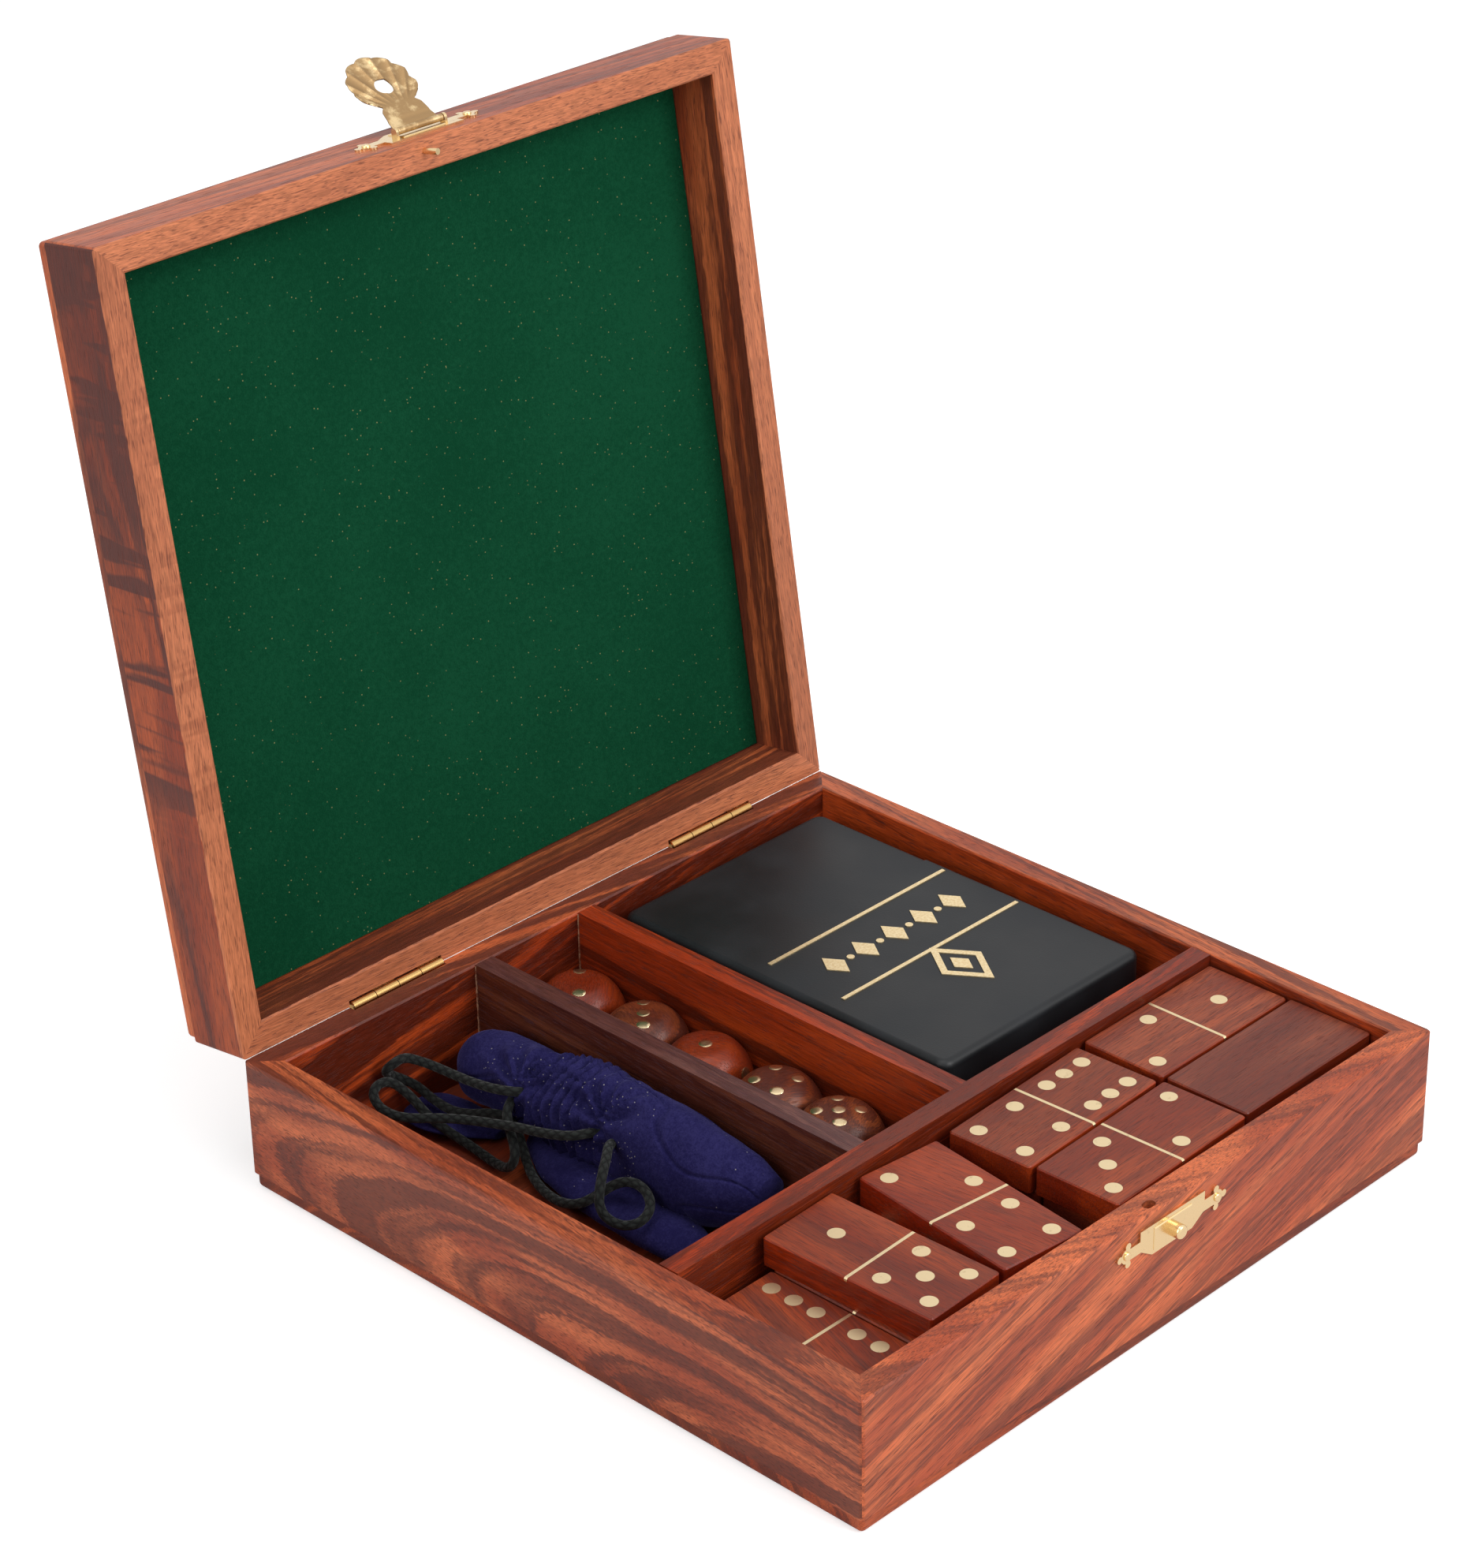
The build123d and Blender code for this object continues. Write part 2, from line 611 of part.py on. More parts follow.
def build_card_case():
    middle_x = case_space_left + case_left_gap + case_width / 2
    middle_y = inner_back - case_back_gap - case_length / 2
    place = Pos(middle_x, middle_y, bottom_thickness)
    seam_y = case_length / 2 - case_seam_from_back
    hollow = RectangleRounded(
        case_width - 2 * case_wall, case_length - 2 * case_wall, case_corner_radius - case_wall
    )
    hollow = Pos(0, 0, case_wall) * extrude(hollow, amount=case_height - 2 * case_wall)
    far = case_length
    front_half = block((-far, -far, -far), (far, seam_y, far))
    lip_half = block((-far, -far, -far), (far, seam_y + case_lip_length, far))
    lip_inset = case_wall * case_lip_share
    body = case_envelope(0) & front_half
    body += case_envelope(lip_inset + case_lip_clearance) & lip_half
    cap = case_envelope(case_cap_inset) - front_half - (case_envelope(lip_inset) & lip_half)
    parts["card_case_body"] = place * (body - hollow)
    parts["card_case_cap"] = place * (cap - hollow)
    deck = extrude(RectangleRounded(card_width, card_length, card_corner_radius), amount=deck_height)
    parts["card_deck"] = place * Pos(0, 0, case_wall) * deck
    rule_left = rule_left_margin - case_width / 2
    rule_right = case_width / 2 - rule_right_margin
    gilding = Sketch()
    for offset in rule_from_seam:
        rule = Rectangle(rule_right - rule_left, rule_width)
        gilding += Pos((rule_left + rule_right) / 2, seam_y - offset) * rule
    row_y = seam_y - sum(rule_from_seam) / 2
    for index in range(ornament_count):
        row_x = (rule_left + rule_right) / 2 + (index - (ornament_count - 1) / 2) * ornament_pitch
        gilding += Pos(row_x, row_y) * lozenge(ornament_height, ornament_width)
        if index < ornament_count - 1:
            gilding += Pos(row_x + ornament_pitch / 2, row_y) * Circle(bead_radius)
    band = emblem_band / emblem_breadth
    emblem = lozenge(emblem_length, emblem_breadth)
    emblem -= lozenge(emblem_length * (1 - 2 * band), emblem_breadth * (1 - 2 * band))
    emblem += lozenge(emblem_length * (1 - 4.4 * band), emblem_breadth * (1 - 4.4 * band))
    gilding += Pos(emblem_offset_x, emblem_from_front + emblem_length / 2 - case_length / 2) * emblem
    parts["card_case_gilding"] = place * Pos(0, 0, case_height) * extrude(gilding, amount=gilding_thickness)


# ---- pip patterns ----
PIP_CELLS = {
    0: (),
    1: ((0, 0),),
    2: ((-1, -1), (1, 1)),
    3: ((-1, -1), (0, 0), (1, 1)),
    4: ((-1, -1), (-1, 1), (1, -1), (1, 1)),
    5: ((-1, -1), (-1, 1), (0, 0), (1, -1), (1, 1)),
    6: ((-1, -1), (-1, 0), (-1, 1), (1, -1), (1, 0), (1, 1)),
}


# ---- dice ----
def die_and_pips(top):
    """A heavily rounded die with its centre at the origin, and its brass pips."""
    form = Box(die_size, die_size, die_size) & Sphere(die_round_diameter / 2)
    around = [value for value in range(1, 7) if value not in (top, 7 - top)]
    faces = (
        (top, Rot(0, 0, 0)),
        (7 - top, Rot(180, 0, 0)),
        (around[0], Rot(90, 0, 0)),
        (around[3], Rot(-90, 0, 0)),
        (around[1], Rot(0, 90, 0)),
        (around[2], Rot(0, -90, 0)),
    )
    pips = []
    for value, turn in faces:
        for column, row in PIP_CELLS[value]:
            peg = Cylinder(die_pip_radius, die_pip_depth + overlap, align=FLOOR)
            spot = Pos(column * die_pip_spacing, row * die_pip_spacing, die_size / 2 - die_pip_depth)
            pips.append((turn * spot * peg) & form)
    return form - pips, Compound(pips)


def build_dice():
    middle_x = dice_right - die_wall_gap - die_size / 2
    for index, (top, distance) in enumerate(zip(die_tops, die_from_back), start=1):
        die, pips = die_and_pips(top)
        place = Pos(middle_x, inner_back - distance, bottom_thickness + die_size / 2)
        parts["die_" + str(index)] = place * die
        parts["die_" + str(index) + "_pips"] = place * pips


# ---- dominoes ----
def domino_blank():
    outline = RectangleRounded(domino_width, domino_length, domino_corner_radius)
    blank = extrude(outline, amount=domino_thickness)
    return chamfer(blank.faces().sort_by(Axis.Z)[-1].edges(), domino_edge_ease)


def domino_inlay(front_value, back_value, mirrored):
    """Brass pips and line for a domino lying along Y with its face up."""
    pieces = [Pos(0, 0, domino_thickness - domino_pip_depth)
              * Box(domino_width, domino_line_width, domino_pip_depth, align=FLOOR)]
    side = -1 if mirrored else 1
    for value, end in ((front_value, -1), (back_value, 1)):
        for column, row in PIP_CELLS[value]:
            spot = Pos(
                side * column * domino_pip_columns,
                end * domino_pip_rows[1] + row * (domino_pip_rows[2] - domino_pip_rows[0]) / 2,
                domino_thickness - domino_pip_depth,
            )
            pieces.append(spot * Cylinder(domino_pip_radius, domino_pip_depth, align=FLOOR))
    return [domino_blank() & piece for piece in pieces]


def domino(front_value, back_value, mirrored=False):
    inlay = domino_inlay(front_value, back_value, mirrored)
    return domino_blank() - inlay, inlay


# name: (place in a straight layer, shift right, shift back, turn in degrees,
#        value at the front or left end, value at the other end, mirrored pips)
top_dominoes = {
    "domino_a": (1, 0.7, 3.2, 2.1, 5, 1, False),
    "domino_b": (2, 4.5, 2.2, -6.4, 4, 2, True),
    "domino_c": (6, -2.3, 1.9, 2.4, 6, 4, False),
    "domino_d": (4, -0.6, 1.9, 2.0, 2, 3, True),
    "domino_e": (5, -0.5, 3.2, 0.3, 1, 2, True),
    "domino_f": (3, 0.0, 3.2, 0.4, 0, 0, False),
}
lower_upright_values = ((6, 6), (0, 3), (5, 5))
lower_flat_values = ((3, 6), (0, 4), (2, 6), (1, 1))


def lower_places():
    """Middle, turn and face values of the seven dominoes of one lower layer."""
    places = []
    middle_y = inner_front + domino_gap + domino_length / 2
    for index, values in enumerate(lower_upright_values):
        middle_x = inner_left + 2 * domino_gap + domino_width / 2 + index * (domino_width + domino_gap)
        places.append((middle_x, middle_y, 0, values))
    for index, values in enumerate(lower_flat_values):
        from_right = domino_gap + domino_length / 2 + (index % 2) * (domino_length + domino_gap)
        from_front = 2 * domino_gap + domino_width / 2 + (index // 2) * (domino_width + 2 * domino_gap)
        places.append((inner_right - from_right, inner_front + from_front, 90, values))
    return places


def build_dominoes():
    lower = []
    lower_inlays = []
    for layer in range(lower_layers):
        level = Pos(0, 0, bottom_thickness + layer * domino_thickness)
        for middle_x, middle_y, turn, values in lower_places():
            place = level * Pos(middle_x, middle_y) * Rot(0, 0, turn)
            if layer == lower_layers - 1:
                blank, inlay = domino(*values)
                lower_inlays += [place * piece for piece in inlay]
            else:
                blank = domino_blank()
            lower.append(place * blank)
    parts["lower_dominoes"] = Compound(lower)
    parts["lower_domino_inlays"] = Compound(lower_inlays)
    level = Pos(0, 0, bottom_thickness + lower_layers * domino_thickness)
    for name, (spot, right, back, twist, front_value, back_value, mirrored) in top_dominoes.items():
        middle_x, middle_y, turn, _ = lower_places()[spot]
        place = level * Pos(middle_x + right, middle_y + back) * Rot(0, 0, turn + twist)
        if not front_value and not back_value:
            parts[name] = place * domino_blank()
            continue
        blank, inlay = domino(front_value, back_value, mirrored)
        parts[name] = place * blank
        parts[name + "_inlay"] = place * Compound(inlay)


# ---- pouch ----
def soft_loft(sections):
    """A smooth closed form through upright ellipses."""
    rings = []
    for from_back, from_dice, height, half_width, half_height in sections:
        plane = Plane(
            (pouch_right - from_dice, inner_back - from_back, height),
            x_dir=(1, 0, 0),
            z_dir=(0, -1, 0),
        )
        rings.append(plane * Ellipse(half_width, half_height))
    return loft(rings)


def cord_tube(name, points):
    """A round cord along straight runs joined by tangent arcs."""
    radii = []
    for before, corner, after in zip(points, points[1:], points[2:]):
        first = Vector(*corner) - Vector(*before)
        second = Vector(*after) - Vector(*corner)
        turn = math.radians(first.get_angle(second))
        shorter = min(first.length, second.length)
        radii.append(0.45 * shorter / math.tan(turn / 2))
    path = FilletPolyline(*points, radius=radii)
    start = Plane(path @ 0, z_dir=path % 0)
    tube = sweep(start * Circle(cord_diameter / 2), path=path)
    expected = math.pi * cord_diameter ** 2 / 4 * path.length
    print(name, "length", round(path.length, 1), "volume ratio", round(tube.volume / expected, 4))
    print("  radii", [round(radius, 1) for radius in radii])
    return tube


def build_pouch():
    """The bag, its lower fold and a flap of its mouth lie on the floor, with the cords' ends in its gathers."""
    rear_cord = cord_tube("rear drawstring", rear_cord_points)
    front_cord = cord_tube("front drawstring", front_cord_points)
    room = block(
        (inner_left + soft_clearance, divider_back_y + soft_clearance, bottom_thickness),
        (pouch_right - soft_clearance, inner_back - soft_clearance, rim_z),
    )
    bag = soft_loft(pouch_sections) + soft_loft(pouch_fold_sections) + soft_loft(pouch_flap_sections)
    parts["pouch_bag"] = (bag & room) - rear_cord - front_cord
    parts["drawstring_rear"] = rear_cord
    parts["drawstring_front"] = front_cord


build_base()
build_lid()
build_card_case()
build_dice()
build_dominoes()
build_pouch()

os.makedirs("parts", exist_ok=True)
for name, shape in parts.items():
    export_step(shape, "parts/" + name + ".step")
print(len(parts), "sub-parts written")
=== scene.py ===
"""Hardwood games box: the looks of its wood, brass, velvet and plastic, and its pouch, drawstrings and dice.

Metres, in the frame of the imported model: X runs right along the clasp side, Y from the clasp to the hinges, Z up.
"""
import math

import bmesh
import bpy
from mathutils import Matrix, Vector, noise


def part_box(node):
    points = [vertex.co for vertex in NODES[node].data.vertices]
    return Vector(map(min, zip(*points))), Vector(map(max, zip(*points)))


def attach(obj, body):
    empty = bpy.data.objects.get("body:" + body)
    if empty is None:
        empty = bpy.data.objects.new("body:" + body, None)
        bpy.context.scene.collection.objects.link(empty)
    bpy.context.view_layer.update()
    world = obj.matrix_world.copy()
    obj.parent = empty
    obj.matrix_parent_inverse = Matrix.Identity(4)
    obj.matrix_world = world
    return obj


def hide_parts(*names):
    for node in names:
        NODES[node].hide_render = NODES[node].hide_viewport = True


bl_info = {
    "name": "Games box",
    "version": (1, 0, 0),
    "blender": (4, 5, 0),
    "location": "3D View > Sidebar > Games box",
    "description": "Dresses the hardwood games box with its woods, brass, velvet, pouch and dice",
    "category": "Object",
}

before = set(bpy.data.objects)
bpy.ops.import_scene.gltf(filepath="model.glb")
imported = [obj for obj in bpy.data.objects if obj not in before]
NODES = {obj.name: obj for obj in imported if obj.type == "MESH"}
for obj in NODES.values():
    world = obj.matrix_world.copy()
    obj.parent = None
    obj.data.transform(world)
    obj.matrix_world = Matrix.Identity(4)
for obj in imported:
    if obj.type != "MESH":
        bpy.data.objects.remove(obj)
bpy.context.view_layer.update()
MM = 0.001

# the lid's rim with the lid closed, in millimetres
LID_RIM = 31.3
# the lid stands open about this line
HINGE_POINT = Vector((0.0, 0.088, 0.0312))
OPEN_ANGLE = math.radians(98.3)
OPENED = Matrix.Translation(HINGE_POINT) @ Matrix.Rotation(-OPEN_ANGLE, 4, "X") @ Matrix.Translation(-HINGE_POINT)
CLOSED = OPENED.inverted()

# the hasp turns about this line, given with the lid closed
HASP_POINT = Vector((0.0015, -0.08975, 0.0369))
HASP_ANGLE = math.radians(139.5)

# the photograph's camera
PHOTO_HEIGHT = 1988
FOCAL_PIXELS = 5166.11
CAMERA_PLACE = Vector((-0.5364318, -0.4994733, 0.4797311))
CAMERA_RIGHT = Vector((0.69512, -0.7186775, -0.017632))
CAMERA_DOWN = Vector((-0.3458787, -0.3128386, -0.8845903))
CAMERA_FORWARD = Vector((0.6302191, 0.6209949, -0.4660356))

# the routes of the drawstrings, from one end of each to the other
REAR_CORD_POINTS = (
    (-0.0434, 0.0486, 0.0190), (-0.0471, 0.0501, 0.0202), (-0.0488, 0.0547, 0.0198),
    (-0.0488, 0.0613, 0.0186), (-0.0488, 0.0676, 0.0180), (-0.0497, 0.0731, 0.0184),
    (-0.0521, 0.0761, 0.0198), (-0.0546, 0.0766, 0.0212), (-0.0572, 0.0766, 0.0213),
    (-0.0585, 0.0779, 0.0196), (-0.0579, 0.0793, 0.0177), (-0.0557, 0.0799, 0.0159),
    (-0.0532, 0.0792, 0.0140), (-0.0510, 0.0772, 0.0122), (-0.0506, 0.0728, 0.0104),
    (-0.0507, 0.0666, 0.0100), (-0.0493, 0.0615, 0.0108), (-0.0479, 0.0571, 0.0124),
    (-0.0469, 0.0534, 0.0126), (-0.0466, 0.0506, 0.0106), (-0.0483, 0.0472, 0.0086),
    (-0.0507, 0.0433, 0.0070), (-0.0534, 0.0383, 0.0064), (-0.0554, 0.0325, 0.0064),
    (-0.0567, 0.0263, 0.0074), (-0.0560, 0.0218, 0.0088), (-0.0536, 0.0188, 0.0112),
    (-0.0511, 0.0169, 0.0134), (-0.0492, 0.0142, 0.0148), (-0.0485, 0.0107, 0.0148),
    (-0.0495, 0.0072, 0.0138), (-0.0520, 0.0048, 0.0126), (-0.0558, 0.0045, 0.0116),
    (-0.0580, 0.0075, 0.0110), (-0.0594, 0.0105, 0.0124), (-0.0592, 0.0124, 0.0146),
    (-0.0576, 0.0137, 0.0172), (-0.0548, 0.0155, 0.0190), (-0.0503, 0.0188, 0.0198),
    (-0.0464, 0.0223, 0.0192), (-0.0430, 0.0226, 0.0178),
)
FRONT_CORD_POINTS = (
    (-0.0428, 0.0272, 0.0182), (-0.0455, 0.0282, 0.0188), (-0.0489, 0.0299, 0.0188),
    (-0.0502, 0.0340, 0.0178), (-0.0511, 0.0393, 0.0168), (-0.0520, 0.0443, 0.0162),
    (-0.0543, 0.0502, 0.0158), (-0.0567, 0.0559, 0.0154), (-0.0600, 0.0608, 0.0152),
    (-0.0636, 0.0648, 0.0150), (-0.0655, 0.0686, 0.0150), (-0.0657, 0.0729, 0.0154),
    (-0.0649, 0.0758, 0.0170), (-0.0625, 0.0766, 0.0182), (-0.0594, 0.0762, 0.0176),
    (-0.0573, 0.0752, 0.0154), (-0.0559, 0.0729, 0.0128), (-0.0548, 0.0703, 0.0096),
    (-0.0538, 0.0669, 0.0076), (-0.0528, 0.0632, 0.0060), (-0.0525, 0.0584, 0.0053),
    (-0.0531, 0.0531, 0.0052), (-0.0538, 0.0492, 0.0055), (-0.0546, 0.0456, 0.0066),
    (-0.0549, 0.0432, 0.0086), (-0.0541, 0.0430, 0.0106), (-0.0527, 0.0449, 0.0122),
    (-0.0513, 0.0475, 0.0136), (-0.0499, 0.0498, 0.0152), (-0.0484, 0.0512, 0.0168),
    (-0.0444, 0.0526, 0.0176),
)


# ---- sizes and colours ----
def colour(name, description, value):
    return bpy.props.FloatVectorProperty(
        name=name, description=description, subtype="COLOR", size=3, min=0.0, max=1.0, default=value
    )


def length(name, description, value):
    return bpy.props.FloatProperty(
        name=name, description=description, subtype="DISTANCE", unit="LENGTH", min=0.0, default=value
    )


def share(name, description, value, top=1.0):
    return bpy.props.FloatProperty(name=name, description=description, min=0.0, max=top, default=value)


class GAMESBOX_PG_wood(bpy.types.PropertyGroup):
    light: colour("Light wood", "Palest orange bands of the rosewood", (0.56, 0.135, 0.045))
    middle: colour("Middle wood", "Main red-brown of the rosewood", (0.36, 0.066, 0.022))
    dark: colour("Dark wood", "Purple-brown streaks of the rosewood", (0.085, 0.018, 0.012))
    sanded: colour("Sanded rim", "Paler wood of the sanded rims", (0.56, 0.19, 0.085))


class GAMESBOX_PG_brass(bpy.types.PropertyGroup):
    clean: colour("Clean brass", "Colour of the polished brass", (0.83, 0.62, 0.34))
    tarnished: colour("Tarnished brass", "Colour of the brown tarnish", (0.36, 0.23, 0.11))
    hinge: colour("Hinge brass", "Deeper colour of the hinge barrels", (0.66, 0.40, 0.15))
    inlay: colour("Inlaid brass", "Colour of the pips and lines", (0.80, 0.63, 0.38))


class GAMESBOX_PG_velvet(bpy.types.PropertyGroup):
    green: colour("Green velvet", "Pile of the lid's lining", (0.0014, 0.046, 0.0185))
    green_worn: colour("Worn green", "Lining where the pile lies over", (0.004, 0.064, 0.027))
    indigo: colour("Indigo velvet", "Pile of the pouch", (0.012, 0.010, 0.058))
    indigo_worn: colour("Worn indigo", "Pouch where the pile is rubbed", (0.024, 0.021, 0.092))
    lint: colour("Lint", "Pale lint and dust caught in the pile", (0.45, 0.42, 0.40))


class GAMESBOX_PG_cord(bpy.types.PropertyGroup):
    diameter: length("Diameter", "Thickness of the drawstring", 0.0021)
    braid_pitch: length("Braid pitch", "Length of one turn of the braid", 0.0026)
    # dark: the black yarn with painted shade in the braid's hollows; light: a painted highlight on the braid's crowns
    dark: colour("Hollow yarn with painted shade", "Black yarn in the hollows of the braid, with painted shade", (0.0022, 0.0026, 0.0026))
    light: colour("Painted highlight on the crowns", "Painted highlight on the crowns of the braid", (0.013, 0.016, 0.014))


class GAMESBOX_PG_dice(bpy.types.PropertyGroup):
    size: length("Size", "Width across the flats of a die", 0.0176)
    round_diameter: length("Round diameter", "Diameter of the ball that rounds the corners", 0.0208)
    pip_radius: length("Pip radius", "Radius of a brass pip", 0.00165)
    pip_spacing: length("Pip spacing", "Distance between two pips of a row", 0.0034)


class GAMESBOX_PG_stage(bpy.types.PropertyGroup):
    ambient: share("Room light", "Strength of the even light from all round", 0.40, 2.0)
    key_power: share("Key power", "Power of the large lamp in watts", 13.0, 100.0)
    fill_power: share("Fill power", "Power of the fill lamp in watts", 6.0, 100.0)
    top_power: share("Top power", "Power of the overhead lamp in watts", 5.0, 100.0)
    floor: colour("Floor", "Colour of the pale floor", (0.86, 0.86, 0.86))


# ---- shader nodes ----
def put(tree, socket, value):
    """Links a socket to another, or sets its own value."""
    if isinstance(value, bpy.types.NodeSocket):
        tree.links.new(value, socket)
    elif socket.type == "RGBA" and len(value) == 3:
        socket.default_value = (*value, 1.0)
    else:
        socket.default_value = value


def add(tree, kind, sockets=None, **settings):
    made = tree.nodes.new("ShaderNode" + kind)
    for name, value in settings.items():
        setattr(made, name, value)
    for key, value in (sockets or {}).items():
        put(tree, made.inputs[key], value)
    return made


def maths(tree, operation, *values):
    return add(tree, "Math", dict(enumerate(values)), operation=operation).outputs[0]


def mixed(tree, factor, first, second, blend_type="MIX"):
    """A colour between two, by a factor from 0 to 1."""
    return add(tree, "Mix", {0: factor, 6: first, 7: second}, data_type="RGBA", blend_type=blend_type).outputs[2]


def smooth_step(tree, value, low, high, start=0.0, end=1.0):
    sockets = {0: value, 1: low, 2: high, 3: start, 4: end}
    return add(tree, "MapRange", sockets, interpolation_type="SMOOTHSTEP").outputs[0]


def stretched(tree, vector, factors, shift=None):
    """The vector times one factor for each axis, and moved."""
    scaled = add(tree, "VectorMath", {0: vector, 1: factors}, operation="MULTIPLY").outputs[0]
    if shift is None:
        return scaled
    return add(tree, "VectorMath", {0: scaled, 1: shift}, operation="ADD").outputs[0]


def clouds(tree, vector, scale=1.0, detail=2.0, roughness=0.5, distortion=0.0, output="Fac"):
    sockets = {"Vector": vector, "Scale": scale, "Detail": detail, "Roughness": roughness, "Distortion": distortion}
    return add(tree, "TexNoise", sockets).outputs[output]


def new_group(name, inputs, outputs):
    """An empty node group with named sockets, and its input and output nodes."""
    group = bpy.data.node_groups.new(name, "ShaderNodeTree")
    kinds = {"colour": "NodeSocketColor", "value": "NodeSocketFloat", "vector": "NodeSocketVector"}
    for socket_name, kind, default in inputs:
        socket = group.interface.new_socket(socket_name, in_out="INPUT", socket_type=kinds[kind])
        if default is not None:
            socket.default_value = (*default, 1.0) if kind == "colour" else default
    for socket_name, kind in outputs:
        group.interface.new_socket(socket_name, in_out="OUTPUT", socket_type=kinds[kind])
    start = group.nodes.new("NodeGroupInput")
    end = group.nodes.new("NodeGroupOutput")
    return group, start.outputs, end.inputs


def use_group(tree, group, sockets):
    made = tree.nodes.new("ShaderNodeGroup")
    made.node_tree = group
    for key, value in sockets.items():
        put(tree, made.inputs[key], value)
    return made.outputs


def figured_wood_group():
    """Growth-ring streaks round a tilted trunk axis, with fibres, pores, a sanded rim and painted shade on faces
    inside the box.

    The vector is in millimetres with X along the trunk. Streaks are read from the distance to the axis."""
    group, given, out = new_group(
        "Figured wood",
        [
            ("Vector", "vector", None),
            ("Seed", "value", 0.0),
            ("Ring Spacing", "value", 3.0),
            ("Waviness", "value", 3.0),
            ("Dark Share", "value", 0.5),
            ("Contrast", "value", 1.0),
            ("Rim Distance", "value", 100.0),
            # share and colour of the painted shade for faces inside the box
            ("Inside", "value", 0.0),
            ("Deep", "colour", (0.62, 0.34, 0.22)),
            ("Flame", "value", 0.0),
            ("Flame End", "value", 0.0),
            ("Light", "colour", (0.5, 0.2, 0.1)),
            ("Middle", "colour", (0.3, 0.1, 0.05)),
            ("Dark", "colour", (0.1, 0.03, 0.02)),
            ("Sanded", "colour", (0.5, 0.2, 0.1)),
        ],
        [("Color", "colour"), ("Roughness", "value"), ("Height", "value")],
    )
    vector = given["Vector"]
    seed = add(group, "CombineXYZ", {0: given["Seed"], 1: given["Seed"], 2: given["Seed"]}).outputs[0]
    # slow wander of the rings, and the ragged edge that the fibres give a streak
    wander = clouds(group, stretched(group, vector, (0.016, 0.055, 0.055), seed), detail=1.5, output="Color")
    wander = add(group, "VectorMath", {0: wander, 1: (0.5, 0.5, 0.5)}, operation="SUBTRACT").outputs[0]
    wander = add(group, "VectorMath", {0: wander, "Scale": given["Waviness"]}, operation="SCALE").outputs[0]
    across = add(group, "VectorMath", {0: vector, 1: wander}, operation="ADD").outputs[0]
    across = stretched(group, across, (0.0, 1.0, 1.0))
    radius = add(group, "VectorMath", {0: across}, operation="LENGTH").outputs["Value"]
    ragged = clouds(group, stretched(group, vector, (0.16, 2.6, 2.6), seed), detail=1.0)
    radius = add(group, "Math", {0: ragged, 1: 1.3, 2: radius}, operation="MULTIPLY_ADD").outputs[0]
    ring = maths(group, "DIVIDE", radius, given["Ring Spacing"])
    along = add(group, "SeparateXYZ", {0: vector}).outputs[0]
    line = add(group, "CombineXYZ", {0: maths(group, "MULTIPLY", along, 0.006), 1: ring, 2: given["Seed"]}).outputs[0]
    broad = clouds(group, line, scale=0.62, detail=1.0, roughness=0.45)
    fine = clouds(group, stretched(group, line, (2.0, 1.0, 1.0), (7.0, 3.0, 5.0)), scale=2.1, detail=2.0)
    streaks = maths(group, "ADD", maths(group, "MULTIPLY", broad, 0.62), maths(group, "MULTIPLY", fine, 0.38))
    low = maths(group, "MULTIPLY_ADD", given["Dark Share"], -0.34, 0.60)
    high = maths(group, "ADD", low, 0.13)
    streaks = smooth_step(group, streaks, low, high)
    # flame bands that cross the grain, up to where they die out
    flame_place = stretched(group, vector, (0.21, 0.020, 0.020), seed)
    flame = clouds(group, flame_place, scale=1.0, detail=2.0, roughness=0.5, distortion=0.5)
    flame = smooth_step(group, flame, 0.46, 0.56)
    reach = maths(group, "SUBTRACT", given["Flame End"], along)
    flame = maths(group, "MULTIPLY", flame, given["Flame"])
    flame = maths(group, "MULTIPLY", flame, smooth_step(group, reach, -12.0, 12.0))
    streaks = maths(group, "MULTIPLY", maths(group, "MAXIMUM", streaks, flame), given["Contrast"])
    patches = clouds(group, stretched(group, vector, (0.012, 0.07, 0.07), seed), scale=1.3, detail=2.0)
    patches = smooth_step(group, patches, 0.38, 0.64)
    ground = mixed(group, patches, given["Light"], given["Middle"])
    shade = mixed(group, streaks, ground, given["Dark"])
    # fibres and open pores, drawn out along the trunk
    fibres = clouds(group, stretched(group, vector, (0.10, 3.4, 3.4), seed), detail=3.0, roughness=0.6)
    fibre_light = smooth_step(group, fibres, 0.28, 0.72, 0.70, 1.24)
    pores = clouds(group, stretched(group, vector, (0.24, 3.8, 3.8), seed), detail=1.0)
    pores = smooth_step(group, pores, 0.58, 0.68)
    # the sanded rim, with a broken edge
    edge = clouds(group, stretched(group, vector, (0.25, 1.4, 1.4), seed), detail=2.0)
    reach = maths(group, "MULTIPLY_ADD", edge, -0.9, maths(group, "ABSOLUTE", given["Rim Distance"]))
    rim = smooth_step(group, reach, -0.15, 0.12, 1.0, 0.0)
    sanded = mixed(group, maths(group, "MULTIPLY", streaks, 0.30), given["Sanded"], given["Middle"])
    shade = mixed(group, maths(group, "MULTIPLY", rim, 0.85), shade, sanded)
    # painted shade: faces inside the box are multiplied by a darker, redder colour that stands in for the shade
    # falling there
    painted_shade = mixed(group, 1.0, shade, given["Deep"], "MULTIPLY")
    shade = mixed(group, given["Inside"], shade, painted_shade)
    grey = add(group, "CombineColor", {0: fibre_light, 1: fibre_light, 2: fibre_light}).outputs[0]
    shade = mixed(group, 1.0, shade, grey, "MULTIPLY")
    shade = mixed(group, maths(group, "MULTIPLY", pores, 0.58), shade, given["Dark"])
    put(group, out["Color"], shade)
    waxed = smooth_step(group, fibres, 0.2, 0.8, 0.36, 0.50)
    put(group, out["Roughness"], maths(group, "MULTIPLY_ADD", pores, 0.15, waxed))
    put(group, out["Height"], maths(group, "SUBTRACT", maths(group, "MULTIPLY", fibres, 0.4), pores))
    return group


